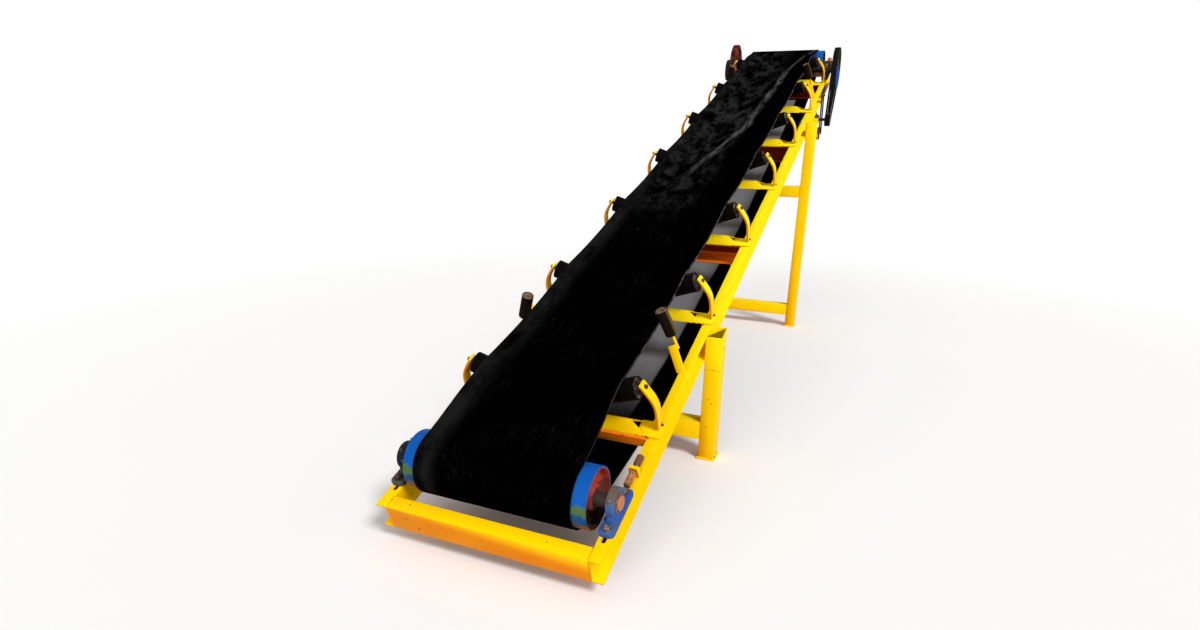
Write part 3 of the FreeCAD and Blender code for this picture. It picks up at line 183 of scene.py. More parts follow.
class Bench:
    """Hand tools that shape one piece at a time."""

    @staticmethod
    def clear() -> None:
        """Leave edit mode and deselect everything."""
        if bpy.context.object and bpy.context.object.mode != "OBJECT":
            bpy.ops.object.mode_set(mode="OBJECT")
        bpy.ops.object.select_all(action="DESELECT")

    @staticmethod
    def take(*pieces: Piece) -> Piece:
        """Select these pieces alone.

        Args:
            pieces: The pieces; the first becomes the active one.

        Returns:
            The active piece.
        """
        Bench.clear()
        for piece in pieces:
            piece.select_set(True)
        bpy.context.view_layer.objects.active = pieces[0]
        return pieces[0]

    @staticmethod
    def settled() -> Piece:
        """Put the place of the newest primitive into its mesh.

        Returns:
            The piece.
        """
        piece = Bench.take(bpy.context.object)
        bpy.ops.object.transform_apply(location=True, rotation=True, scale=True)
        return piece

    @staticmethod
    def rod(radius: float, low: float, high: float, sides: int = 32) -> Piece:
        """Add a round bar on Z.

        Args:
            radius: Its radius.
            low: Its lower end.
            high: Its upper end.
            sides: How many sides it has.

        Returns:
            The bar.
        """
        Bench.clear()
        bpy.ops.mesh.primitive_cylinder_add(vertices=sides, radius=radius, depth=high - low,
                                            location=(0, 0, (low + high) / 2))
        return Bench.settled()

    @staticmethod
    def box(low: Sequence[float], high: Sequence[float]) -> Piece:
        """Add a box between two corners.

        Args:
            low: Its lowest corner.
            high: Its highest corner.

        Returns:
            The box.
        """
        Bench.clear()
        size = [b - a for a, b in zip(low, high)]
        centre = [(a + b) / 2 for a, b in zip(low, high)]
        bpy.ops.mesh.primitive_cube_add(size=1, location=centre, scale=size)
        return Bench.settled()

    @staticmethod
    @contextmanager
    def editing(piece: Piece, kind: str = "FACE") -> Iterator[None]:
        """Hold a piece in edit mode with nothing selected.

        Args:
            piece: The piece.
            kind: What is selected in it: VERT, EDGE or FACE.

        Yields:
            Nothing.
        """
        Bench.take(piece)
        bpy.ops.object.mode_set(mode="EDIT")
        bpy.ops.mesh.select_mode(type=kind)
        bpy.ops.mesh.select_all(action="DESELECT")
        yield
        bpy.ops.object.mode_set(mode="OBJECT")

    @staticmethod
    def pick(piece: Piece, test: Test) -> None:
        """Select the faces that pass a test, and no others.

        Args:
            piece: The piece, in edit mode.
            test: Takes a face's centre and normal.
        """
        shape = bmesh.from_edit_mesh(piece.data)
        for face in shape.faces:
            face.select_set(test(face.calc_center_median(), face.normal))
        bmesh.update_edit_mesh(piece.data)

    @staticmethod
    def pick_edges(piece: Piece, test: Test) -> None:
        """Select the edges that pass a test, and no others.

        Args:
            piece: The piece, in edit mode.
            test: Takes an edge's middle and direction.
        """
        shape = bmesh.from_edit_mesh(piece.data)
        for edge in shape.edges:
            one, two = (corner.co for corner in edge.verts)
            edge.select_set(test((one + two) / 2, (two - one).normalized()))
        bmesh.update_edit_mesh(piece.data)

    @staticmethod
    def modify(piece: Piece, kind: str, **settings: object) -> Piece:
        """Add a modifier, set it and apply it.

        Args:
            piece: The piece.
            kind: The modifier's type.
            settings: Its settings by name.

        Returns:
            The piece.
        """
        Bench.take(piece)
        modifier = piece.modifiers.new(kind.lower(), kind)
        for name, value in settings.items():
            setattr(modifier, name, value)
        bpy.ops.object.modifier_apply(modifier=modifier.name)
        return piece

    @staticmethod
    def rounded(piece: Piece, width: float, segments: int = 2, angle: float = 35.0) -> Piece:
        """Round every edge sharper than an angle and return the piece."""
        return Bench.modify(piece, "BEVEL", width=width, segments=segments, limit_method="ANGLE",
                            angle_limit=math.radians(angle), use_clamp_overlap=True)

    @staticmethod
    def smooth(piece: Piece, angle: float = 35.0) -> Piece:
        """Shade a piece smooth below an angle.

        Args:
            piece: The piece.
            angle: The angle, in degrees.

        Returns:
            The piece.
        """
        Bench.take(piece)
        bpy.ops.object.shade_smooth_by_angle(angle=math.radians(angle))
        return piece

    @staticmethod
    def tidy(piece: Piece) -> Piece:
        """Merge doubled corners and turn the faces outwards.

        Args:
            piece: The piece.

        Returns:
            The piece.
        """
        with Bench.editing(piece):
            bpy.ops.mesh.select_all(action="SELECT")
            bpy.ops.mesh.remove_doubles(threshold=MERGE_GAP)
            bpy.ops.mesh.normals_make_consistent(inside=False)
        return piece

    @staticmethod
    def turned(profile: Sequence[Pair], sides: int = 48) -> Piece:
        """Turn a profile about Z.

        Args:
            profile: (radius, height) points; it starts and ends on the axis or is closed.
            sides: How many steps the turn has.

        Returns:
            The turned piece.
        """
        Bench.clear()
        radius, height = profile[0]
        bpy.ops.mesh.primitive_plane_add(size=0.001, location=(radius, 0, height))
        piece = Bench.settled()
        with Bench.editing(piece, "VERT"):
            bpy.ops.mesh.select_all(action="SELECT")
            bpy.ops.mesh.merge(type="CENTER")
            for start, end in zip(profile, profile[1:]):
                step = (end[0] - start[0], 0, end[1] - start[1])
                bpy.ops.mesh.extrude_vertices_move(TRANSFORM_OT_translate={"value": step})
            bpy.ops.mesh.select_all(action="SELECT")
            bpy.ops.mesh.spin(steps=sides, angle=TAU, center=(0, 0, 0), axis=(0, 0, 1))
        return Bench.tidy(piece)

    @staticmethod
    def eased_rod(radius: float, low: float, high: float, ease: float) -> Piece:
        """Turn a round bar on Z with eased ends.

        Args:
            radius: Its radius.
            low: Its lower end.
            high: Its upper end.
            ease: How wide the easing is.

        Returns:
            The bar.
        """
        slim = radius - ease
        return Bench.turned([(0, low), (slim, low), (radius, low + ease), (radius, high - ease),
                             (slim, high), (0, high)], 20)

    @staticmethod
    def torus(reach: float, thick: float, steps: int, sides: int, height: float = 0.0) -> Piece:
        """Add a round ring about Z.

        Args:
            reach: The radius of its middle.
            thick: The radius of its section.
            steps: How many steps it has.
            sides: How many sides its section has.
            height: How high it lies.

        Returns:
            The ring.
        """
        Bench.clear()
        bpy.ops.mesh.primitive_torus_add(major_radius=reach, minor_radius=thick,
                                         major_segments=steps, minor_segments=sides,
                                         location=(0, 0, height))
        return Bench.settled()

    @staticmethod
    def copied(piece: Piece, place: Matrix) -> Piece:
        """Copy a piece with its own mesh.

        Args:
            piece: The piece.
            place: Where the copy goes.

        Returns:
            The copy.
        """
        twin = piece.copy()
        twin.data = piece.data.copy()
        bpy.context.scene.collection.objects.link(twin)
        return Bench.placed(twin, place)

    @staticmethod
    def placed(piece: Piece, place: Matrix) -> Piece:
        """Move a piece's mesh.

        Args:
            piece: The piece.
            place: The transform.

        Returns:
            The piece.
        """
        piece.data.transform(place)
        if place.determinant() < 0:
            piece.data.flip_normals()
        piece.data.update()
        return piece

    @staticmethod
    def repeated(piece: Piece, places: Sequence[Matrix]) -> Piece:
        """Copy a model to several places, join the copies and drop the model.

        Args:
            piece: The model.
            places: Where the copies go.

        Returns:
            The copies as one piece.
        """
        copies = [Bench.copied(piece, place) for place in places]
        bpy.data.objects.remove(piece)
        return Bench.joined(copies)

    @staticmethod
    def joined(pieces: Sequence[Piece]) -> Piece:
        """Join pieces into one.

        Args:
            pieces: The pieces.

        Returns:
            The one piece.
        """
        whole = Bench.take(*pieces)
        if len(pieces) > 1:
            bpy.ops.object.join()
        return whole

    @staticmethod
    def cut(piece: Piece, tool: Piece) -> Piece:
        """Cut a tool's shape out of a piece and drop the tool.

        Args:
            piece: The piece.
            tool: The tool.

        Returns:
            The piece.
        """
        Bench.modify(piece, "BOOLEAN", operation="DIFFERENCE", object=tool, solver="EXACT")
        bpy.data.objects.remove(tool)
        return piece

    @staticmethod
    def worked(node: str, width: float = 0.0, keep_sharp: float = 35.0) -> Piece:
        """Copy a node's shape and ease its edges.

        Args:
            node: The node's name.
            width: How wide the eased edges are, or 0 for sharp ones.
            keep_sharp: Edges below this angle stay as they are, in degrees.

        Returns:
            The copy, which stands for the node.
        """
        source = frame["nodes"][node]
        piece = source.copy()
        piece.data = source.data.copy()
        bpy.context.scene.collection.objects.link(piece)
        piece.parent = None
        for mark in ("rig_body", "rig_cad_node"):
            del piece[mark]
        Bench.take(piece)
        bpy.ops.mesh.customdata_custom_splitnormals_clear()
        piece.data.materials.clear()
        with Bench.editing(piece):
            bpy.ops.mesh.select_all(action="SELECT")
            bpy.ops.mesh.remove_doubles(threshold=MERGE_GAP)
            bpy.ops.mesh.dissolve_limited(angle_limit=FLAT_ANGLE)
        if width:
            Bench.rounded(piece, width, 2, keep_sharp)
        piece.name = f"{node}_worked"
        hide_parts(node)
        return piece


class Store:
    """Names each finished piece, gives it its finish and mounts it."""

    @staticmethod
    def mount(piece: Piece, name: str, body: Body | str, slot: Slot, finish: Finish | None = None,
              stands_for: Sequence[str] = (), smooth: float = 35.0) -> Piece:
        """Finish a piece and mount it on its body.

        Args:
            piece: The piece, in place.
            name: Its name.
            body: The body it rides on.
            slot: The record's slot that its finish belongs to. It is not used.
            finish: Its material, or None if it has its own already.
            stands_for: The nodes it replaces.
            smooth: The angle below which it shades smooth, in degrees.

        Returns:
            The piece.
        """
        Bench.smooth(piece, smooth)
        piece.name = name
        piece.data.name = name
        if finish is not None:
            piece.data.materials.clear()
            piece.data.materials.append(finish)
        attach(piece, body.value if isinstance(body, Body) else body)
        if stands_for:
            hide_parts(*stands_for)
        return piece

    @staticmethod
    def rework(node: str, slot: Slot, finish: Finish, width: float = 0.0,
               body: Body = Body.FRAME) -> Piece:
        """Ease a node's edges, finish it and mount it in the node's place."""
        piece = Bench.worked(node, width)
        return Store.mount(piece, piece.name, body, slot, finish)


# --- finishes ---


class Tree:
    """Writes a material's nodes."""

    def __init__(self, name: str) -> None:
        """Start an empty material.

        Args:
            name: Its name.
        """
        self.finish = bpy.data.materials.new(name)
        self.finish.use_nodes = True
        self.nodes = self.finish.node_tree.nodes
        self.links = self.finish.node_tree.links
        self.nodes.clear()
        self.where = self.add("ShaderNodeTexCoord").outputs["Object"]

    def add(self, kind: str, inputs: dict | None = None, **settings: object) -> bpy.types.Node:
        """Add a node.

        Args:
            kind: Its type.
            inputs: Values or sockets for its inputs, by name or number.
            settings: Its own settings.

        Returns:
            The node.
        """
        node = self.nodes.new(kind)
        for name, value in settings.items():
            setattr(node, name, value)
        for name, value in (inputs or {}).items():
            if isinstance(value, Socket):
                self.links.new(value, node.inputs[name])
            else:
                node.inputs[name].default_value = value
        return node

    def mapped(self, scale: Triple, turn: Triple = (0, 0, 0), shift: Triple = (0, 0, 0)) -> Socket:
        """Return the piece's coordinates, turned, stretched and shifted."""
        return self.add("ShaderNodeMapping", {"Vector": self.where, "Location": shift,
                                              "Rotation": turn, "Scale": scale}).outputs[0]

    def noise(self, scale: float, detail: float = 4.0, rough: float = 0.55,
              where: Socket | None = None) -> Socket:
        """Add a noise.

        Args:
            scale: How fine it is.
            detail: How many finer layers it has.
            rough: How strong those are.
            where: Its place, or None for the piece's own.

        Returns:
            Its value, from 0 to 1.
        """
        place = self.where if where is None else where
        return self.add("ShaderNodeTexNoise", {"Vector": place, "Scale": scale, "Detail": detail,
                                               "Roughness": rough}).outputs["Fac"]

    def band(self, value: Socket, low: float, high: float, top: float = 1.0) -> Socket:
        """Spread a value smoothly.

        Args:
            value: The value.
            low: What becomes 0.
            high: What becomes the top.
            top: The top.

        Returns:
            The new value.
        """
        node = self.add("ShaderNodeMapRange", {"Value": value, "From Min": low, "From Max": high,
                                               "To Max": top}, interpolation_type="SMOOTHSTEP")
        return node.outputs[0]

    def sum(self, how: str, one: Socket | float, two: Socket | float = 0.0) -> Socket:
        """Return the result of an operation on one or two values."""
        return self.add("ShaderNodeMath", {0: one, 1: two}, operation=how).outputs[0]

    def plus(self, one: Socket | float, two: Socket | float) -> Socket:
        """Return two values added."""
        return self.sum("ADD", one, two)

    def minus(self, one: Socket | float, two: Socket | float) -> Socket:
        """Return one value less another."""
        return self.sum("SUBTRACT", one, two)

    def times(self, one: Socket | float, two: Socket | float) -> Socket:
        """Return two values multiplied."""
        return self.sum("MULTIPLY", one, two)

    def mix(self, share: Socket | float, one: Socket | Triple, two: Socket | Triple) -> Socket:
        """Mix one colour into another.

        Args:
            share: How much of the second there is.
            one: The first colour.
            two: The second colour.

        Returns:
            The colour.
        """
        full = [(*c, 1.0) if isinstance(c, tuple) else c for c in (one, two)]
        node = self.add("ShaderNodeMix", {"Factor": share, "A": full[0], "B": full[1]},
                        data_type="RGBA")
        return node.outputs["Result"]

    def length(self, vector: Socket) -> Socket:
        """Return a vector's length."""
        return self.add("ShaderNodeVectorMath", {0: vector}, operation="LENGTH").outputs["Value"]

    def parts(self, vector: Socket) -> Sequence[Socket]:
        """Return a vector's three components."""
        return self.add("ShaderNodeSeparateXYZ", {"Vector": vector}).outputs

    def sloped(self, scale: Triple) -> Socket:
        """Return the piece's coordinates in the line's directions, stretched."""
        return self.mapped(scale, (-Line().incline, 0, 0))

    def on_line(self) -> Sequence[Socket]:
        """Return the place on the working line: across, along and above."""
        back = LINE.inverted()
        return self.parts(self.mapped((1, 1, 1), (-Line().incline, 0, 0), tuple(back.translation)))

    def facing(self, direction: Triple) -> Socket:
        """Compare the surface's direction with another.

        Args:
            direction: The direction.

        Returns:
            How far the surface faces it, from -1 to 1.
        """
        flat = self.add("ShaderNodeNewGeometry").outputs["Normal"]
        return self.add("ShaderNodeVectorMath", {0: flat, 1: direction},
                        operation="DOT_PRODUCT").outputs["Value"]

    def edges(self, radius: float) -> Socket:
        """Find the edges.

        Args:
            radius: How far from an edge still counts.

        Returns:
            1 on edges and 0 away from them.
        """
        soft = self.add("ShaderNodeBevel", {"Radius": radius}, samples=4).outputs[0]
        flat = self.add("ShaderNodeNewGeometry").outputs["Normal"]
        along = self.add("ShaderNodeVectorMath", {0: soft, 1: flat}, operation="DOT_PRODUCT")
        return self.band(along.outputs["Value"], 0.995, 0.9)

    def bump(self, height: Socket, strength: float, depth: float) -> Socket:
        """Return a normal raised by a height value."""
        inputs = {"Height": height, "Strength": strength, "Distance": depth}
        return self.add("ShaderNodeBump", inputs).outputs[0]

    def close(self, **inputs: object) -> Finish:
        """Finish the material.

        Args:
            inputs: The surface's inputs, named with _ for a space.

        Returns:
            The material.
        """
        names = {name: name.replace("_", " ").title().replace("Ior", "IOR") for name in inputs}
        surface = self.add("ShaderNodeBsdfPrincipled",
                           {names[name]: value for name, value in inputs.items()})
        output = self.add("ShaderNodeOutputMaterial")
        self.links.new(surface.outputs[0], output.inputs["Surface"])
        return self.finish


@dataclass(frozen=True)
class Paint:
    """Brushed enamel on steel: faded patches, runs of dirt, chips to rust on edges and faces; some
    finishes add painted light and shade.
    """

    name: str
    colour: Triple
    faded: Triple
    rust: Triple = (0.13, 0.045, 0.018)
    dirt: Triple = (0.16, 0.10, 0.04)
    chips: float = 0.66
    dirt_share: float = 0.3
    edge_wear: float = 0.5
    gloss: float = 0.36
    edge_radius: float = 0.004
    # The side and shade colours below are painted light and shade: orange on faces turned across
    # the light, dark orange on faces turned away.
    side: Triple | None = None
    painted_shade: Triple | None = None
    fade: float = 1.0
    specular: float = 0.2
    low_colour: Triple | None = None
    low_run: Pair = (1.9, 0.6)
    tint: Triple | None = None
    tint_slope: float = 0.0
    tint_run: Pair = (0.10, 0.116)

    def build(self) -> Finish:
        """Build the material.

        Returns:
            The material.
        """
        tree = Tree(self.name)
        _, along, above = tree.on_line()
        tone = tree.band(tree.noise(1.7, 4, 0.6), 0.35, 0.7, self.fade)
        brush = tree.noise(1, 5, 0.6, tree.mapped((90, 8, 90)))
        colour: Socket | Triple = self.colour
        # Painted light and shade: faces turned to the light take the top colour, faces across it
        # the side colour, faces turned away the shade colour; tops near the tail end take the low
        # colour.
        if self.side and self.painted_shade:
            light_facing = tree.facing(PAINTED_LIGHT_SIDE)
            top: Socket | Triple = self.colour
            if self.low_colour:
                top = tree.mix(tree.band(along, *self.low_run), self.colour, self.low_colour)
            colour = tree.mix(tree.band(light_facing, 0.0, 0.28), self.painted_shade, self.side)
            colour = tree.mix(tree.band(light_facing, 0.30, 0.80), colour, top)
        colour = tree.mix(tone, colour, self.faded)
        # A colour laid over everything above a level that tilts along the line: painted shade on
        # the cross members' upper webs and on top of the left tail block, painted sunlight on top
        # of the head and countershaft blocks, a grey-brown top on the blue castings.
        if self.tint:
            level = tree.plus(above, tree.times(along, self.tint_slope))
            colour = tree.mix(tree.band(level, *self.tint_run), colour, self.tint)
        runs = tree.noise(1, 6, 0.65, tree.mapped((22, 14, 3.5)))
        stain = tree.band(runs, 0.52, 0.85, self.dirt_share)
        colour = tree.mix(stain, colour, self.dirt)
        flecks = tree.noise(46, 8, 0.62)
        edge = tree.times(tree.edges(self.edge_radius),
                          tree.band(tree.noise(16, 6, 0.6), 0.46, 0.62, self.edge_wear))
        chip = tree.sum("MAXIMUM", tree.band(flecks, self.chips, self.chips + 0.03), edge)
        rust = tree.mix(tree.noise(120, 3), self.rust, tuple(c * 0.35 for c in self.rust))
        colour = tree.mix(chip, colour, rust)
        rough = tree.plus(tree.band(tone, 0, 1, 0.12), self.gloss)
        rough = tree.plus(rough, tree.times(chip, 0.4))
        skin = tree.minus(tree.times(brush, 0.5), chip)
        normal = tree.bump(skin, 0.35, 0.0006)
        return tree.close(base_color=colour, roughness=rough, normal=normal,
                          specular_ior_level=self.specular)


@dataclass(frozen=True)
class Metal:
    """Bare or rusted metal: two or three tones in patches, scratches and pits, and on request a
    painted sunlit side.
    """

    name: str
    clean: Triple
    stained: Triple
    deep: Triple
    metallic: float = 0.7
    rough: float = 0.38
    stain_low: float = 0.42
    stain_high: float = 0.62
    scale: float = 14.0
    specular: float = 0.5
    painted_sunlit: Triple | None = None
    sunlit_direction: Triple = (0.97, 0.05, 0.24)
    sunlit_band: Pair = (0.72, 0.98)
    tips: Triple | None = None
    tip_start: float = 0.494
    tip_blend: float = 0.002

    def build(self) -> Finish:
        """Build the material.

        Returns:
            The material.
        """
        tree = Tree(self.name)
        patch = tree.band(tree.noise(self.scale, 7, 0.6), self.stain_low, self.stain_high)
        fine = tree.noise(self.scale * 9, 6, 0.6)
        stain = tree.mix(tree.band(fine, 0.35, 0.65), self.stained, self.deep)
        colour = tree.mix(patch, self.clean, stain)
        # Painted sunlight: faces turned towards one direction take a lighter colour.
        if self.painted_sunlit:
            sunlit_share = tree.band(tree.facing(self.sunlit_direction), *self.sunlit_band)
            colour = tree.mix(sunlit_share, colour, self.painted_sunlit)
        if self.tips:
            away = tree.sum("ABSOLUTE", tree.on_line()[0])
            tip = tree.band(away, self.tip_start, self.tip_start + self.tip_blend)
            colour = tree.mix(tip, colour, self.tips)
        rough = tree.plus(tree.times(patch, 0.35), self.rough)
        metal = tree.times(tree.minus(1.0, patch), self.metallic)
        height = tree.plus(tree.times(patch, fine), tree.noise(420, 2))
        return tree.close(base_color=colour, roughness=rough, metallic=metal,
                          normal=tree.bump(height, 0.5, 0.0005), specular_ior_level=self.specular)


@dataclass(frozen=True)
class BeltRubber:
    """Black conveyor rubber: scuffs along the carrying face, a dusty trail in the trough and a
    painted sheen on the left wing.
    """

    name: str = "belt_rubber_worn"
    black: Triple = (0.0003, 0.0003, 0.0003)
    wear_and_light: Triple = (0.017, 0.017, 0.0175)
    dust: Triple = (0.070, 0.070, 0.073)
    rough: float = 0.72
    patch_along: Pair = (2.3, 3.1)
    patch_across: Pair = (0.14, 0.0)
    sheen_across: Pair = (-0.22, -0.31)
    trail_along: Pair = (2.9, 3.8)
    trail_half: Pair = (0.042, 0.006)
    trail_lines: tuple[Pair, ...] = ((0.19, -0.714), (0.03, -0.036), (0.26, -1.42))
    wander: float = 0.10

    def wear_and_light_marks(self, tree: Tree, across: Socket, along: Socket) -> tuple[Socket, Socket]:
        """Lay out the broad grey patches with the painted sheen on the left wing, and the narrow
        dusty trail.

        Args:
            tree: The material's tree.
            across: The place across the belt.
            along: The place along it.

        Returns:
            How strong each of the two is, from 0 to 1.
        """
        broad = tree.noise(1, 8, 0.72, tree.sloped((13, 5, 5)))
        patch = tree.times(tree.band(broad, 0.43, 0.66), tree.band(along, *self.patch_along))
        patch = tree.times(patch, tree.band(across, *self.patch_across))
        # Painted sheen: grey patches on the left wing, in the same grey as the wear.
        wing = tree.times(tree.band(broad, 0.30, 0.62), tree.band(across, *self.sheen_across))
        patch = tree.sum("MAXIMUM", patch, tree.times(wing, 0.55))
        lines = [tree.plus(tree.times(along, slope), start) for slope, start in self.trail_lines]
        bend = tree.sum("MAXIMUM", tree.sum("MINIMUM", lines[0], lines[1]), lines[2])
        wander = tree.times(tree.minus(tree.noise(2.4, 4, 0.6), 0.5), self.wander)
        away = tree.sum("ABSOLUTE", tree.minus(across, tree.plus(bend, wander)))
        broken = tree.noise(1, 6, 0.65, tree.sloped((20, 4, 4)))
        trail = tree.times(tree.band(away, *self.trail_half), tree.band(broken, 0.36, 0.64))
        return patch, tree.times(trail, tree.band(along, *self.trail_along))

    def build(self) -> Finish:
        """Build the material, with its pattern running up the slope.

        Returns:
            The material.
        """
        tree = Tree(self.name)
        across, along, _ = tree.on_line()
        patch, trail = self.wear_and_light_marks(tree, across, along)
        colour = tree.mix(patch, self.black, self.wear_and_light)
        scratch = tree.noise(1, 8, 0.7, tree.sloped((120, 6, 30)))
        scuff = tree.times(tree.band(scratch, 0.54, 0.72),
                           tree.band(tree.noise(3.1, 4, 0.6), 0.45, 0.7, 0.22))
        scuff = tree.sum("MAXIMUM", scuff, trail)
        colour = tree.mix(scuff, colour, self.dust)
        grain = tree.noise(260, 3, 0.6)
        height = tree.plus(tree.times(grain, 0.35), tree.times(scratch, 0.5))
        rough = tree.plus(tree.times(scuff, 0.2), self.rough)
        return tree.close(base_color=colour, roughness=rough, normal=tree.bump(height, 0.6, 0.0008),
                          specular_ior_level=0.0)


@dataclass(frozen=True)
class BeltInner(BeltRubber):
    """The inner face: a grey band of painted sunlight with lighter streaks, black elsewhere as
    painted shade.
    """

    name: str = "belt_inner_face"
    wear_and_light: Triple = (0.19, 0.19, 0.20)
    dust: Triple = (0.24, 0.24, 0.25)
    rough: float = 0.85
    band_half: Pair = (0.246, 0.228)
    band_along: Pair = (0.9, 1.7)

    def wear_and_light_marks(self, tree: Tree, across: Socket, along: Socket) -> tuple[Socket, Socket]:
        """Lay out the grey band of painted sunlight and its streaks.

        Args:
            tree: The material's tree.
            across: The place across the belt.
            along: The place along it.

        Returns:
            How strong each of the two is, from 0 to 1.
        """
        # Painted light and shade: grey where sunlight falls between the stringers, black beyond it
        # and near the tail end where shade falls.
        away = tree.plus(tree.sum("ABSOLUTE", across), tree.times(tree.noise(3.0, 3, 0.5), 0.02))
        band = tree.times(tree.band(away, *self.band_half), tree.band(along, *self.band_along))
        streak = tree.band(tree.noise(1, 6, 0.6, tree.sloped((60, 3, 3))), 0.5, 0.8)
        return band, tree.times(band, tree.times(streak, 0.5))


@dataclass(frozen=True)
class BeltEdge(BeltRubber):
    """The cut edge: dark rubber painted lighter than the faces as a highlight, with grey threads of
    the carcass.
    """

    name: str = "belt_cut_edge"
    black: Triple = (0.012, 0.012, 0.012)
    wear_and_light: Triple = (0.075, 0.072, 0.07)
    rough: float = 0.85

    def wear_and_light_marks(self, tree: Tree, across: Socket, along: Socket) -> tuple[Socket, Socket]:
        """Return the grey threads, from 0 to 1, and no trail."""
        thread = tree.band(tree.noise(1, 6, 0.6, tree.sloped((40, 5, 90))), 0.42, 0.6)
        return tree.times(thread, tree.band(along, 0.2, 1.6)), tree.times(thread, 0.0)


@dataclass(frozen=True)
class PulleyPaint:
    """Enamel on a pulley: a shell in bands by height whose blue darkens lower down as painted
    shade, and end discs in primer and grease that darken downwards with painted shade.
    """

    name: str
    axis: Pair
    shell: float
    # Shell bands from the top: bright blue, a green band, darker blue as painted shade, grey, then
    # rust at the bottom. Disc bands: red primer darkening to black downwards, painted shade
    # together with grease.
    shell_bands: tuple[tuple[float, Triple], ...] = (
        (1.0, (0.002, 0.078, 0.35)), (0.014, (0.06, 0.12, 0.035)), (-0.022, (0.006, 0.06, 0.19)),
        (-0.058, (0.07, 0.075, 0.085)), (-0.070, (0.24, 0.085, 0.02)))
    disc_bands: tuple[tuple[float, Triple], ...] = (
        (1.0, (0.46, 0.055, 0.035)), (0.03, (0.20, 0.035, 0.022)), (-0.035, (0.008, 0.005, 0.004)))
    rust: Triple = (0.12, 0.05, 0.03)
    edge: Triple = (0.10, 0.08, 0.065)
    blend: float = 0.009

    def banded(self, tree: Tree, height: Socket,
               bands: tuple[tuple[float, Triple], ...]) -> Socket | Triple:
        """Return the colours laid in bands, each one from its height downwards.

        Args:
            tree: The material's tree.
            height: The height over the pulley's axis.
            bands: The height where each colour starts, from the top, with its colour.

        Returns:
            The colour.
        """
        colour: Socket | Triple = bands[0][1]
        for start, tone in bands[1:]:
            share = tree.band(height, start + self.blend, start - self.blend)
            colour = tree.mix(share, colour, tone)
        return colour

    def build(self) -> Finish:
        """Build the material.

        Returns:
            The material.
        """
        tree = Tree(self.name)
        shift = (0, -self.axis[0], -self.axis[1])
        place = tree.mapped((0, 1, 1), shift=shift)
        away = tree.length(place)
        wave = tree.minus(tree.noise(1, 5, 0.65, tree.mapped((26, 16, 16))), 0.5)
        height = tree.plus(tree.parts(place)[2], tree.times(wave, 0.085))
        fine = tree.noise(38, 6, 0.65)
        shell = self.banded(tree, height, self.shell_bands)
        disc = self.banded(tree, height, self.disc_bands)
        disc = tree.mix(tree.band(fine, 0.45, 0.62, 0.6), disc, self.rust)
        colour = tree.mix(tree.band(away, self.shell, self.shell - 0.002), shell, disc)
        colour = tree.mix(tree.band(fine, 0.62, 0.70, 0.6), colour, self.rust)
        edge = tree.times(tree.edges(0.003), tree.band(fine, 0.46, 0.60, 0.7))
        colour = tree.mix(edge, colour, self.edge)
        rough = tree.band(fine, 0.3, 0.8, 0.6)
        return tree.close(base_color=colour, roughness=tree.plus(rough, 0.4),
                          normal=tree.bump(fine, 0.4, 0.0006), specular_ior_level=0.06)


def made(recipe: Paint | Metal | BeltRubber) -> Finish:
    """Return a field whose value is a recipe's material, built with its class."""
    return field(default_factory=recipe.build)


# The side and shade colours here are painted light and shade on the yellow enamel.
ENAMEL = dict(faded=(0.94, 0.52, 0.0), fade=0.2, side=(1.0, 0.60, 0.0),
              painted_shade=(0.66, 0.185, 0.0), low_colour=(1.0, 0.60, 0.0), specular=0.04,
              dirt_share=0.16, gloss=0.5)
# This enamel is darker orange-red all over: painted shade on the cross members under the belt.
SHADED_ENAMEL = ENAMEL | dict(faded=(0.80, 0.14, 0.004), side=(0.64, 0.095, 0.004),
                              low_colour=(1.0, 0.21, 0.008))


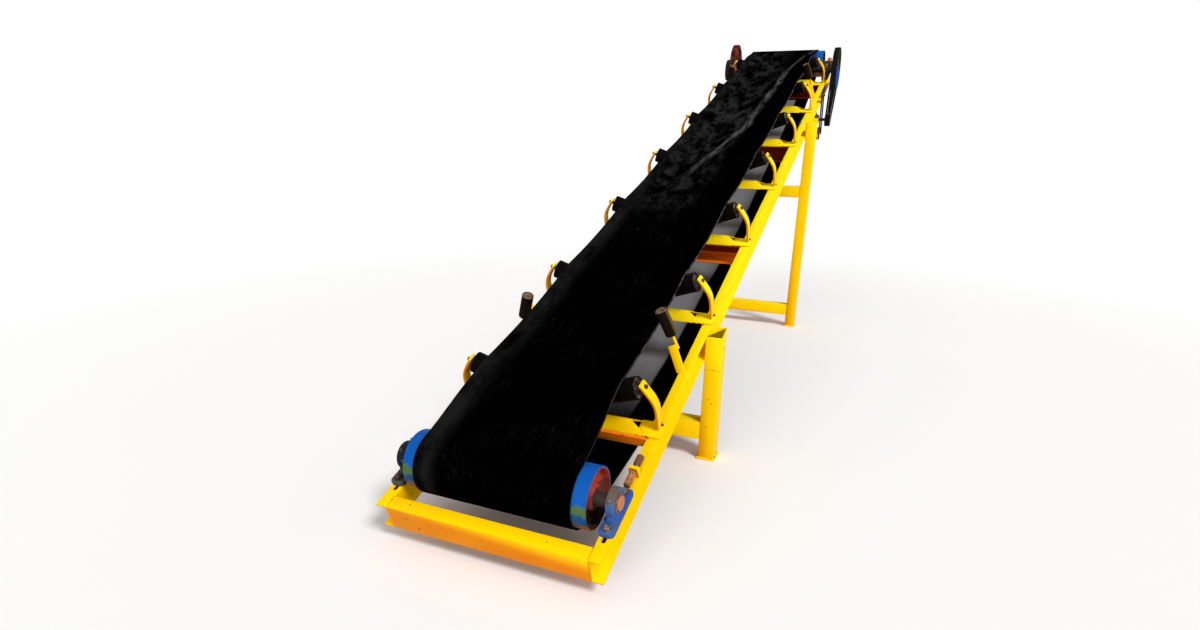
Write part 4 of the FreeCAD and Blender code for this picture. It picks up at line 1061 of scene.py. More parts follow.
@dataclass
class Finishes:
    """Every finish on the conveyor, built once."""

    yellow: Finish = made(Paint("yellow_enamel", (1.0, 0.78, 0.006), **ENAMEL))
    # Painted shade on the cross members: dark orange-red all over, and dark red over the upper
    # webs, more of them further up the line, where the belt's shadow falls.
    shaded_yellow: Finish = made(Paint(
        "yellow_enamel_grimy", (1.0, 0.21, 0.008), tint=(0.17, 0.012, 0.006), tint_slope=0.05,
        tint_run=(0.034, 0.042), **SHADED_ENAMEL))
    # Weld beads take painted light and shade by face direction, as the enamel does.
    weld: Finish = made(Paint(
        "yellow_weld", (0.92, 0.62, 0.0), (0.66, 0.32, 0.0), chips=0.58, side=(0.90, 0.48, 0.0),
        painted_shade=(0.72, 0.20, 0.0), specular=0.04, edge_wear=0.0))
    casting: Finish = made(Paint(
        "blue_casting", (0.008, 0.085, 0.44), (0.04, 0.10, 0.26), rust=(0.16, 0.13, 0.11),
        dirt=(0.22, 0.26, 0.33), chips=0.57, dirt_share=0.9, edge_wear=0.9, gloss=0.55,
        specular=0.1, tint=(0.11, 0.085, 0.07)))
    # Painted shade: a near-black copy of the blue casting for the left tail block, darker still on
    # top.
    shaded_casting: Finish = made(Paint(
        "dull_casting", (0.012, 0.022, 0.03), (0.09, 0.10, 0.075), rust=(0.10, 0.06, 0.04),
        dirt=(0.10, 0.10, 0.08), chips=0.57, dirt_share=0.7, edge_wear=0.6, gloss=0.6,
        specular=0.1, tint=(0.004, 0.007, 0.012), tint_run=(0.035, 0.05)))
    # Painted shade and light: the head and countershaft blocks are near black all over as painted
    # shade, with an orange top as painted sunlight.
    head_casting: Finish = made(Paint(
        "greasy_casting", (0.012, 0.009, 0.010), (0.07, 0.025, 0.01), rust=(0.16, 0.05, 0.02),
        dirt=(0.12, 0.04, 0.01), chips=0.56, dirt_share=0.7, edge_wear=0.9, gloss=0.5,
        specular=0.1, tint=(0.50, 0.17, 0.01)))
    black: Finish = made(Paint(
        "black_enamel", (0.004, 0.004, 0.005), (0.012, 0.011, 0.010), chips=0.64,
        dirt=(0.03, 0.02, 0.012), specular=0.06, gloss=0.6))
    motor: Finish = made(Paint(
        "grey_blue_enamel", (0.035, 0.075, 0.13), (0.05, 0.08, 0.11), dirt=(0.07, 0.06, 0.05),
        chips=0.62))
    roller: Finish = made(Metal(
        "roller_shell", (0.0016, 0.0015, 0.0016), (0.008, 0.004, 0.003), (0.001, 0.001, 0.001),
        metallic=0.0, rough=0.5, specular=0.015))
    cap: Finish = made(Metal(
        "roller_cap", (0.13, 0.12, 0.11), (0.03, 0.016, 0.011), (0.006, 0.005, 0.004),
        metallic=0.3, rough=0.45, stain_low=0.36, stain_high=0.52, scale=40, specular=0.1))
    shaft: Finish = made(Metal(
        "shaft_steel_dull", (0.07, 0.06, 0.055), (0.06, 0.03, 0.018), (0.02, 0.012, 0.01),
        metallic=0.2, rough=0.45, scale=18, specular=0.15))
    tail_shaft: Finish = made(Metal(
        "shaft_steel_greasy", (0.05, 0.035, 0.03), (0.025, 0.015, 0.01), (0.01, 0.007, 0.006),
        metallic=0.2, rough=0.5, scale=18, specular=0.15, tips=(0.52, 0.17, 0.045)))
    rust: Finish = made(Metal(
        "rusty_screw", (0.20, 0.09, 0.05), (0.22, 0.075, 0.028), (0.07, 0.028, 0.015),
        metallic=0.4, rough=0.6, scale=30))
    # Painted shade and light: the guide rollers are near black all round as painted shade, and
    # brown on the side facing the light as painted sunlight.
    guide: Finish = made(Metal(
        "rusty_tube", (0.006, 0.004, 0.003), (0.014, 0.007, 0.004), (0.003, 0.002, 0.002),
        metallic=0.0, rough=0.65, scale=26, specular=0.03, painted_sunlit=(0.12, 0.075, 0.025)))
    guide_cap: Finish = made(Metal(
        "rusty_tube_end", (0.15, 0.10, 0.065), (0.10, 0.055, 0.03), (0.04, 0.02, 0.012),
        metallic=0.0, rough=0.7, scale=50, specular=0.1))
    sleeve: Finish = made(Metal(
        "rust_orange_sleeve", (0.44, 0.17, 0.045), (0.30, 0.10, 0.028), (0.12, 0.045, 0.02),
        metallic=0.0, rough=0.75, scale=34))
    bolt: Finish = made(Metal(
        "bolt_steel", (0.17, 0.16, 0.15), (0.14, 0.07, 0.04), (0.05, 0.025, 0.016),
        metallic=0.3, rough=0.5, scale=45, specular=0.2))
    dark_bolt: Finish = made(Metal(
        "black_bolt", (0.03, 0.026, 0.022), (0.09, 0.035, 0.016), (0.02, 0.012, 0.01),
        rough=0.5, scale=45))
    gear: Finish = made(Metal(
        "gear_iron_red", (0.22, 0.028, 0.018), (0.10, 0.012, 0.008), (0.010, 0.004, 0.004),
        metallic=0.0, rough=0.55, scale=9, stain_low=0.40, stain_high=0.55, specular=0.1))
    grease: Finish = made(Metal(
        "greasy_iron_dark", (0.012, 0.010, 0.009), (0.008, 0.006, 0.005), (0.003, 0.003, 0.003),
        metallic=0.1, rough=0.35, scale=20, specular=0.12))
    outer_belt: Finish = made(BeltRubber())
    inner_belt: Finish = made(BeltInner())
    belt_edge: Finish = made(BeltEdge())
    drive_belt: Finish = made(Metal(
        "drive_belt_rubber", (0.004, 0.004, 0.004), (0.010, 0.009, 0.008), (0.002, 0.002, 0.002),
        metallic=0.0, rough=0.7, scale=30, specular=0.04))


# --- fasteners and welds ---


@dataclass(frozen=True)
class HexBolt:
    """A hex head with eased corners on a washer, and its stud's end where it shows."""

    across: float = 0.019
    height: float = 0.0085
    washer: float = 0.0125
    washer_thick: float = 0.0022
    stud: float = 0.0
    corner_ease: float = 0.09
    stud_share: float = 0.3
    tip_share: float = 0.22
    tip: float = 0.002

    def build(self) -> Piece:
        """Build the bolt.

        Returns:
            The bolt, seated on the XY plane.
        """
        corner = self.across / 2 / math.cos(math.pi / 6)
        top = self.washer_thick + self.height
        head = Bench.rod(corner, self.washer_thick, top, 6)
        with Bench.editing(head):
            Bench.pick(head, lambda centre, normal: normal.z > 0.9)
            bpy.ops.mesh.bevel(offset=self.across * self.corner_ease, segments=1, affect="EDGES")
        parts = [head, Bench.rounded(Bench.rod(self.washer, 0, self.washer_thick, 20), 0.0006, 1)]
        if self.stud:
            wide, end = self.across * self.stud_share, top + self.stud
            parts.append(Bench.turned([(0, top), (wide, top), (wide, end - self.tip),
                                       (self.across * self.tip_share, end), (0, end)], 12))
        return Bench.joined(parts)


@dataclass(frozen=True)
class Weld:
    """A rippled bead between two points."""

    start: Triple
    end: Triple
    radius: float = 0.004
    ripple: float = 0.007
    swell: float = 0.22
    uneven: float = 0.12
    end_size: float = 0.55
    end_growth: float = 0.45

    @classmethod
    def on_line(cls, start: Triple, end: Triple, radius: float) -> "Weld":
        """Return a bead between two points of the working line, placed in the floor frame."""
        one, two = (tuple(LINE @ Vector(point)) for point in (start, end))
        return cls(one, two, radius)

    def build(self, rng: random.Random) -> Piece:
        """Lay the bead, in the frame that its points are in.

        Args:
            rng: The source of its unevenness.

        Returns:
            The bead.
        """
        run = Vector(self.end) - Vector(self.start)
        bead = Bench.rod(self.radius, 0, run.length, 8)
        cuts = max(2, int(run.length / self.ripple * 2))
        with Bench.editing(bead, "EDGE"):
            Bench.pick_edges(bead, lambda middle, along: abs(along.z) > 0.9)
            bpy.ops.mesh.subdivide(number_cuts=cuts)
        for corner in bead.data.vertices:
            wave = 1 + self.swell * math.sin(corner.co.z / self.ripple * TAU)
            wave += rng.uniform(-self.uneven, self.uneven)
            end = min(corner.co.z, run.length - corner.co.z) / self.radius
            wave *= self.end_size + self.end_growth * min(1.0, end)
            corner.co.x *= wave
            corner.co.y *= wave
        return Bench.placed(bead, aimed(self.start, run))


# --- steelwork ---


@dataclass
class Steelwork:
    """Stringers, tail beam, cross members, legs, braces and feet, with slots and welds."""

    half_width: float = 0.5
    flange: float = 0.05
    depth: float = Line.depth
    length: float = 6.95
    slot_x: float = 0.474
    slot_start: float = 0.098
    slot_end: float = 0.135
    slot_radius: float = 0.009
    stands: Pair = (1.38, 4.66)
    leg_width: float = 0.084
    leg_depth: float = 0.1
    splice_height: float = 0.513
    foot_thick: float = 0.01
    eased: float = 0.0015
    strip_run: Pair = (-0.0095, -0.0061)
    strip_share: float = 1.6
    foot_bead: float = 0.0035
    splice_bead: float = 0.0016
    leg_bead: float = 0.004
    corner_bead: float = 0.003
    corner_run: Pair = (0.004, 0.063)
    corner_back: float = 0.005

    def slotted(self, piece: Piece, side: Side) -> Piece:
        """Cut the tail bearing's adjusting slot through a stringer's flange.

        Args:
            piece: The stringer.
            side: Its side.

        Returns:
            The stringer.
        """
        x, r, reach = side * self.slot_x, self.slot_radius, 0.02
        tools = [Bench.placed(Bench.rod(r, -reach, reach, 20), Matrix.Translation((x, y, 0)))
                 for y in (self.slot_start, self.slot_end)]
        tools.append(Bench.box((x - r, self.slot_start, -reach), (x + r, self.slot_end, reach)))
        for tool in tools:
            Bench.cut(piece, Bench.placed(tool, LINE))
        return piece

    def build(self, finishes: Finishes, rng: random.Random) -> None:
        """Build and mount the steelwork.

        Args:
            finishes: The finishes.
            rng: The source of unevenness.
        """
        for side in Side:
            piece = self.slotted(Bench.worked(f"stringer_{side.name.lower()}", self.eased), side)
            Store.mount(piece, piece.name, Body.FRAME, Slot.YELLOW, finishes.yellow)
        # The cross members take the enamel with painted shade.
        for node, finish in (("tail_beam", finishes.yellow), ("cross_members", finishes.shaded_yellow),
                             ("foot_plates", finishes.yellow)):
            Store.rework(node, Slot.YELLOW, finish, self.eased)
        legs = [f"{stand}_stand_leg_{side.name.lower()}" for stand in ("near", "far")
                for side in Side]
        for node in (*legs, "near_stand_brace", "far_stand_braces"):
            Store.rework(node, Slot.YELLOW, finishes.yellow, 2 * self.eased)
        # A black strip under each slot stands in for the shade inside it: painted shade.
        strips = [Bench.placed(self.slot_shade_strip(side), LINE) for side in Side]
        Store.mount(Bench.joined(strips), "slot_strips", Body.FRAME, Slot.YELLOW, finishes.black)
        beads = [weld.build(rng) for weld in self.welds()]
        Store.mount(Bench.joined(beads), "frame_welds", Body.FRAME, Slot.YELLOW, finishes.weld,
                    smooth=60)

    def slot_shade_strip(self, side: Side) -> Piece:
        """Shape the dark strip that closes an adjusting slot from underneath: painted shade, so the
        slot looks dark.

        Args:
            side: Its side.

        Returns:
            The strip, on the line.
        """
        x, reach = side * self.slot_x, self.slot_radius * self.strip_share
        low, high = self.strip_run
        strip = Bench.box((x - reach, self.slot_start - 2 * reach, low),
                          (x + reach, self.slot_end + 2 * reach, high))
        return Bench.rounded(strip, self.eased / 2, 1)

    def welds(self) -> list[Weld]:
        """Lay out the beads on legs, feet and the tail corners.

        Returns:
            The beads, in the floor frame.
        """
        beads = []
        tail = LINE @ Vector((0, 0, 0))
        slope, drop = math.tan(Line().incline), self.depth / math.cos(Line().incline)
        for stand in self.stands:
            front, back = tail.y + stand, tail.y + stand + self.leg_depth
            for side in Side:
                inner, outer = (side * (self.half_width + extra) for extra in (0, self.leg_width))
                base, splice = self.foot_thick, self.splice_height
                ring = [(inner, front), (outer, front), (outer, back), (inner, back)]
                for one, two in zip(ring, ring[1:] + ring[:1]):
                    beads.append(Weld((*one, base), (*two, base), self.foot_bead))
                    if stand == self.stands[0]:
                        beads.append(Weld((*one, splice), (*two, splice), self.splice_bead))
                for y in (front, back):
                    top = tail.z + (y - tail.y) * slope
                    beads.append(Weld((inner, y, top - drop), (inner, y, top - self.leg_bead),
                                      self.leg_bead))
        for side in Side:
            x = side * (self.half_width - self.flange)
            start, end = ((x, y, -0.001) for y in self.corner_run)
            beads.append(Weld.on_line(start, end, self.corner_bead))
            start, end = ((x, self.corner_back, z) for z in (-self.depth, -self.leg_bead))
            beads.append(Weld.on_line(start, end, self.foot_bead))
        return beads


# --- idlers ---


@dataclass
class Roller:
    """A tube with pressed end caps, labyrinth seals and a fixed spindle."""

    radius: float = 0.051
    length: float = 0.25
    spindle: float = 0.01
    below: float = 0.018
    above: float = 0.04
    lip: float = 0.004
    recess: float = 0.007
    ease: float = 0.0015
    chamfer: float = 0.0008

    def build(self, finishes: Finishes) -> Piece:
        """Build the roller.

        Args:
            finishes: The finishes.

        Returns:
            The roller on Z, from its lower end at the origin.
        """
        radius, length, deep, ease = self.radius, self.length, self.recess, self.ease
        half, edge, collar = length / 2, radius - self.lip, self.spindle + ease
        shell = Bench.turned([
            (edge, deep), (edge, self.chamfer), (radius - ease, 0), (radius, ease), (radius, half),
            (radius, length - ease), (radius - ease, length), (edge, length - self.chamfer),
            (edge, length - deep), (edge, half), (edge, deep)], 44)
        shell.data.materials.append(finishes.roller)
        profile = [(0, deep), (edge, deep), (edge, deep - 0.003), (edge - 0.004, deep - 0.0045),
                   (0.030, deep - 0.001), (0.0275, deep - 0.006), (0.0235, deep - 0.0075),
                   (0.0225, deep - 0.002), (collar, deep - 0.002), (collar, deep - 0.0005),
                   (0, deep - 0.0005)]
        caps = []
        for place in (Matrix.Identity(4),
                      Matrix.Translation((0, 0, length)) @ Matrix.Rotation(math.pi, 4, "X")):
            cap = Bench.placed(Bench.turned(profile, 36), place)
            cap.data.materials.append(finishes.cap)
            caps.append(cap)
        bar = Bench.eased_rod(self.spindle, -self.below, length + self.above, ease)
        bar.data.materials.append(finishes.shaft)
        return Bench.joined([shell, *caps, bar])


@dataclass
class Idlers:
    """The seven troughing stations: bases, bent arms, rollers, bolts and tacks."""

    count: int = 7
    centre_height: float = 0.117
    wing_x: float = 0.17
    wing_height: float = 0.127
    wing_angle: float = math.radians(20.0)
    arm_x: float = 0.481
    arm_thick: float = 0.012
    arm_width: float = 0.05
    arm_foot: float = 0.006
    bend_start: float = 0.095
    bend_end: float = 0.182
    arm_tip_x: float = 0.412
    arm_tip_height: float = 0.245
    arm_length: float = 0.252
    arm_cuts: int = 16
    arm_cut_start: float = 0.08
    arm_cut_step: float = 0.0075
    arm_eased: float = 0.0016
    tip_round: float = 0.008
    eased: float = 0.0012
    pad_bolt: Triple = (0.489, 0.015, 0.006)
    pad_pin: Triple = (0.455, -0.077, 0.0)
    pad_tack_x: Triple = (0.413, 0.447, 0.488)
    pad_tack: Pair = (-0.070, 0.003)
    pad_tack_half: float = 0.008
    foot_tack_x: Pair = (0.474, 0.488)
    foot_tack: Pair = (0.0252, 0.0065)
    pad_bead: float = 0.0042
    foot_bead: float = 0.0035
    nut_gap: float = 0.029
    roller: Roller = field(default_factory=Roller)

    def stations(self) -> list[float]:
        """Return how far each station is from the tail."""
        return [PLAN.first_idler + index * PLAN.idler_pitch for index in range(self.count)]

    def arm(self) -> Piece:
        """Shape a right-hand arm: a flat bar that bends smoothly inwards.

        Returns:
            The arm, on the line at along = 0.
        """
        lean = math.atan2(self.arm_x - self.arm_tip_x,
                          self.arm_tip_height - (self.bend_start + self.bend_end) / 2)
        run = self.arm_length
        bar = Bench.box((-self.arm_thick / 2, -self.arm_width / 2, 0),
                        (self.arm_thick / 2, self.arm_width / 2, run))
        with Bench.editing(bar, "EDGE"):
            Bench.pick_edges(bar, lambda middle, along: abs(along.x) > 0.9 and middle.z > run / 2)
            bpy.ops.mesh.bevel(offset=self.tip_round, segments=3, affect="EDGES")
        with Bench.editing(bar, "FACE"):
            bpy.ops.mesh.select_all(action="SELECT")
            for step in range(1, self.arm_cuts + 1):
                height = self.arm_cut_start + step * self.arm_cut_step
                bpy.ops.mesh.bisect(plane_co=(0, 0, height), plane_no=(0, 0, 1))
                bpy.ops.mesh.select_all(action="SELECT")
        bend_length = self.bend_end - self.bend_start
        for corner in bar.data.vertices:
            x, z = corner.co.x, corner.co.z + self.arm_foot
            share = min(1.0, max(0.0, (z - self.bend_start) / bend_length))
            radius = bend_length / lean
            angle = share * lean
            centre_x = -radius * (1 - math.cos(angle))
            centre_z = min(z, self.bend_start) + radius * math.sin(angle)
            beyond = max(0.0, z - self.bend_end)
            centre_x -= beyond * math.sin(lean)
            centre_z += beyond * math.cos(lean)
            corner.co.x = self.arm_x + centre_x + x * math.cos(angle)
            corner.co.z = centre_z + x * math.sin(angle)
        bar.data.update()
        return Bench.rounded(bar, self.arm_eased, 2, 50)

    def build(self, finishes: Finishes, rng: random.Random) -> None:
        """Build and mount every station.

        Args:
            finishes: The finishes.
            rng: The source of unevenness.
        """
        Store.rework("idler_bases", Slot.YELLOW, finishes.yellow, self.eased)
        model = self.roller.build(finishes)
        arm = self.arm()
        mirror = Matrix.Scale(-1, 4, (1, 0, 0))
        arms = []
        for index, along in enumerate(self.stations(), start=1):
            for side in Side:
                turn = Matrix.Identity(4) if side is Side.RIGHT else mirror
                arms.append(Bench.copied(arm, LINE @ Matrix.Translation((0, along, 0)) @ turn))
            trio = [Bench.copied(model, LINE @ place) for place in self.roller_places(along)]
            node = f"idler_rollers_{index}"
            Store.mount(Bench.joined(trio), f"{node}_turned", Body.FRAME, Slot.ROLLER,
                        stands_for=[node])
        bpy.data.objects.remove(model)
        bpy.data.objects.remove(arm)
        Store.mount(Bench.joined(arms), "idler_arms_bent", Body.FRAME, Slot.YELLOW, finishes.yellow,
                    stands_for=["idler_arms"])
        self.fasten(finishes, rng)

    def roller_places(self, along: float) -> list[Matrix]:
        """Place the centre roller and both wing rollers of a station.

        Args:
            along: Where the station is.

        Returns:
            Their places on the line.
        """
        places = [aimed((-self.roller.length / 2, along, self.centre_height), (1, 0, 0))]
        for side in Side:
            axis = (side * math.cos(self.wing_angle), 0, math.sin(self.wing_angle))
            places.append(aimed((side * self.wing_x, along, self.wing_height), axis))
        return places

    @staticmethod
    def spot(place: Sequence[float], along: float, side: Side) -> Triple:
        """Return where a right-hand place at a station lies on either side of the line."""
        return side * place[0], along + place[1], place[2]

    def fasten(self, finishes: Finishes, rng: random.Random) -> None:
        """Add the bolts on each foot pad, the spindle nuts and the tacks at the pads.

        Args:
            finishes: The finishes.
            rng: The source of unevenness.
        """
        seats, pins, nuts, beads = [], [], [], []
        half, (wide, level) = self.pad_tack_half, self.foot_tack
        cos, sin = math.cos(self.wing_angle), math.sin(self.wing_angle)
        for along in self.stations():
            for side in Side:
                seats.append(LINE @ aimed(self.spot(self.pad_bolt, along, side), (0, 0, 1),
                                          rng.uniform(0, TAU)))
                pins.append(LINE @ aimed(self.spot(self.pad_pin, along, side), (0, 0, 1), 0.4))
                axis = Vector((side * cos, 0, sin))
                wing = Vector((side * self.wing_x, along, self.wing_height))
                nuts.append(LINE @ aimed(wing + axis * (self.roller.length + self.nut_gap), axis,
                                         rng.uniform(0, TAU)))
                tacks = [([(x + d, *self.pad_tack) for d in (-half, half)], self.pad_bead)
                         for x in self.pad_tack_x]
                tacks += [([(x, y, level) for x in self.foot_tack_x], self.foot_bead)
                          for y in (-wide, wide)]
                for ends, radius in tacks:
                    start, end = (self.spot(end, along, side) for end in ends)
                    beads.append(Weld.on_line(start, end, radius))
        bolts = Bench.joined([Bench.repeated(HexBolt(0.013, 0.005, 0.0085, 0.0015).build(), seats),
                              Bench.repeated(HexBolt(0.006, 0.0015, 0.004, 0.001).build(), pins)])
        Store.mount(bolts, "idler_pad_bolts", Body.FRAME, Slot.RUST, finishes.dark_bolt)
        hexes = Bench.repeated(HexBolt(0.018, 0.003, 0.0105, 0.0015).build(), nuts)
        Store.mount(hexes, "idler_spindle_nuts", Body.FRAME, Slot.RUST, finishes.dark_bolt)
        welds = Bench.joined([bead.build(rng) for bead in beads])
        Store.mount(welds, "idler_tack_welds", Body.FRAME, Slot.YELLOW, finishes.weld, smooth=60)


# --- belt ---


@dataclass
class BeltLoop:
    """The endless belt: flat round its pulleys, troughed on the idlers, slack underneath."""

    width: float = 0.7
    thick: float = 0.01
    gap: float = 0.0005
    level: float = 0.1685
    fold: float = 0.1334
    fold_width: float = 0.06
    lean: float = math.radians(20.0)
    drop: float = -0.3
    sags: Triple = (0.08, 0.04, 0.025)
    sag_between: float = 0.012
    flatten: float = 0.12
    drift: float = 0.008
    columns: int = 26
    step: float = 0.035
    bend_steps: int = 24
    wrap_steps: int = 26

    def section(self, across: float, share: float) -> Pair:
        """Return where a point of the width lies in the trough.

        Args:
            across: Its distance from the middle along the belt's width.
            share: How far the trough is formed, from 0 to 1.

        Returns:
            Its x and its height over the middle.
        """
        steps, reach = self.bend_steps, abs(across)
        x = height = 0.0
        for index in range(steps):
            spot = (index + 0.5) / steps * reach
            part = min(1.0, max(0.0, (spot - self.fold) / self.fold_width + 0.5))
            angle = self.lean * share * part * part * (3 - 2 * part)
            x += math.cos(angle) * reach / steps
            height += math.sin(angle) * reach / steps
        return math.copysign(x, across), height

    def radii(self) -> Pair:
        """Return the radii of the belt's inner face on the tail and head pulleys."""
        return PLAN.tail_radius + self.gap, PLAN.head_radius + self.gap

    @staticmethod
    def blend(t: float) -> float:
        """Return a share from 0 to 1 that leaves and arrives gently."""
        return t * t * (3 - 2 * t)

    def carrying(self, u: float) -> Pair:
        """Follow the carrying run.

        Args:
            u: A place along it.

        Returns:
            Its height and its trough share there.
        """
        tail_r, head_r = self.radii()
        if u < PLAN.first_idler:
            ease = self.blend((u - PLAN.tail) / (PLAN.first_idler - PLAN.tail))
            return (PLAN.shafts + tail_r) * (1 - ease) + self.level * ease, ease
        if u > PLAN.last_idler:
            ease = self.blend((u - PLAN.last_idler) / (PLAN.head - PLAN.last_idler))
            return self.level * (1 - ease) + (PLAN.shafts + head_r) * ease, 1 - ease
        t = ((u - PLAN.first_idler) / PLAN.idler_pitch) % 1.0
        sag = 4 * t * (1 - t)
        return self.level - self.sag_between * sag, 1 - self.flatten * sag

    def wrap(self, u: float, radius: float, start: float, end: float) -> list[Triple]:
        """Wrap the belt round a pulley.

        Args:
            u: The pulley's place.
            radius: The radius of the belt's inner face on it.
            start: The angle where it starts, in degrees.
            end: The angle where it ends.

        Returns:
            The rows after the first.
        """
        turns = [math.radians(start + (end - start) * index / self.wrap_steps)
                 for index in range(1, self.wrap_steps + 1)]
        return [(u + radius * math.cos(turn), PLAN.shafts + radius * math.sin(turn), 0.0)
                for turn in turns]

    def hanging(self) -> tuple[list[Pair], Pair]:
        """Hang the return run between the pulleys.

        Returns:
            Its supports from head to tail, and the angles, in degrees, where it leaves the tail
            and head pulleys.
        """
        (near, far), (tail_r, head_r) = PLAN.returns, self.radii()
        fall = (PLAN.shafts - tail_r - self.drop + 4 * self.sags[0]) / (near - PLAN.tail)
        rise = (PLAN.shafts - head_r - self.drop + 4 * self.sags[2]) / (PLAN.head - far)
        tail_turn = 270 - math.degrees(math.atan(fall))
        head_turn = math.degrees(math.atan(rise)) - 90

        def rim(u: float, radius: float, angle: float) -> Pair:
            """Return a point on a pulley's rim."""
            return (u + radius * math.cos(math.radians(angle)),
                    PLAN.shafts + radius * math.sin(math.radians(angle)))

        points = [rim(PLAN.head, head_r, head_turn), (far, self.drop), (near, self.drop),
                  rim(PLAN.tail, tail_r, tail_turn)]
        return points, (tail_turn, head_turn)

    def path(self) -> list[Triple]:
        """Lay out the loop's inner face.

        Returns:
            Its rows: place along, height and trough share.
        """
        tail_r, head_r = self.radii()
        run = PLAN.head - PLAN.tail
        count = int(run / self.step)
        places = [PLAN.tail + run * index / count for index in range(count + 1)]
        rows = [(u, *self.carrying(u)) for u in places]
        points, turns = self.hanging()
        rows += self.wrap(PLAN.head, head_r, 90.0, turns[1])
        for (u0, n0), (u1, n1), sag in zip(points, points[1:], self.sags[::-1]):
            count = int(abs(u1 - u0) / self.step)
            for index in range(1, count + 1):
                t = index / count
                height = n0 + (n1 - n0) * t - 4 * sag * t * (1 - t)
                rows.append((u0 + (u1 - u0) * t, height, 0.0))
        return rows + self.wrap(PLAN.tail, tail_r, turns[0] - 360.0, 90.0 - 360.0)[:-1]

    def build(self, finishes: Finishes) -> None:
        """Build and mount the belt.

        Args:
            finishes: The finishes.
        """
        rows = self.path()
        Bench.clear()
        bpy.ops.mesh.primitive_grid_add(x_subdivisions=self.columns, y_subdivisions=len(rows),
                                        size=1)
        sheet = Bench.settled()
        for corner in sheet.data.vertices:
            column, row = corner.co.x + 0.5, corner.co.y + 0.5
            u, above, share = rows[round(row * len(rows)) % len(rows)]
            x, height = self.section((column - 0.5) * self.width, share)
            run = PLAN.last_idler - PLAN.first_idler
            middle = math.sin(math.pi * (u - PLAN.first_idler) / run)
            corner.co = (x + self.drift * share * max(0.0, middle), u, above + height)
        sheet.data.update()
        Bench.tidy(sheet)
        for finish in (finishes.outer_belt, finishes.inner_belt, finishes.belt_edge):
            sheet.data.materials.append(finish)
        Bench.modify(sheet, "SOLIDIFY", thickness=self.thick, offset=1.0, use_even_offset=True,
                     material_offset=1, material_offset_rim=2)
        Bench.placed(sheet, LINE)
        Store.mount(sheet, "belt_loop", Body.FRAME, Slot.BELT, stands_for=["belt"], smooth=50)


# --- return run ---


@dataclass
class ReturnRun:
    """The rollers under the slack side of the belt, their hanging plates and the bolts in them."""

    axis: float = -0.3485
    half: float = 0.375
    nut_x: float = 0.393
    eased: float = 0.0015
    roller: Roller = field(default_factory=lambda: Roller(0.038, 0.75, 0.01, 0.016, 0.016))

    def build(self, finishes: Finishes) -> None:
        """Build and mount the return rollers and plates.

        Args:
            finishes: The finishes.
        """
        model = self.roller.build(finishes)
        places = [LINE @ aimed((-self.half, along, self.axis), (1, 0, 0)) for along in PLAN.returns]
        Store.mount(Bench.repeated(model, places), "return_rollers_turned", Body.FRAME, Slot.ROLLER,
                    stands_for=["return_rollers"])
        Store.rework("return_roller_plates", Slot.YELLOW, finishes.yellow, self.eased)
        seats = [LINE @ aimed((side * self.nut_x, along, self.axis), (side, 0, 0))
                 for along in PLAN.returns for side in Side]
        nuts = Bench.repeated(HexBolt(0.022, 0.008, 0.0145, 0.0025).build(), seats)
        Store.mount(nuts, "return_roller_nuts", Body.FRAME, Slot.RUST, finishes.bolt)


# --- bearings and shafts ---


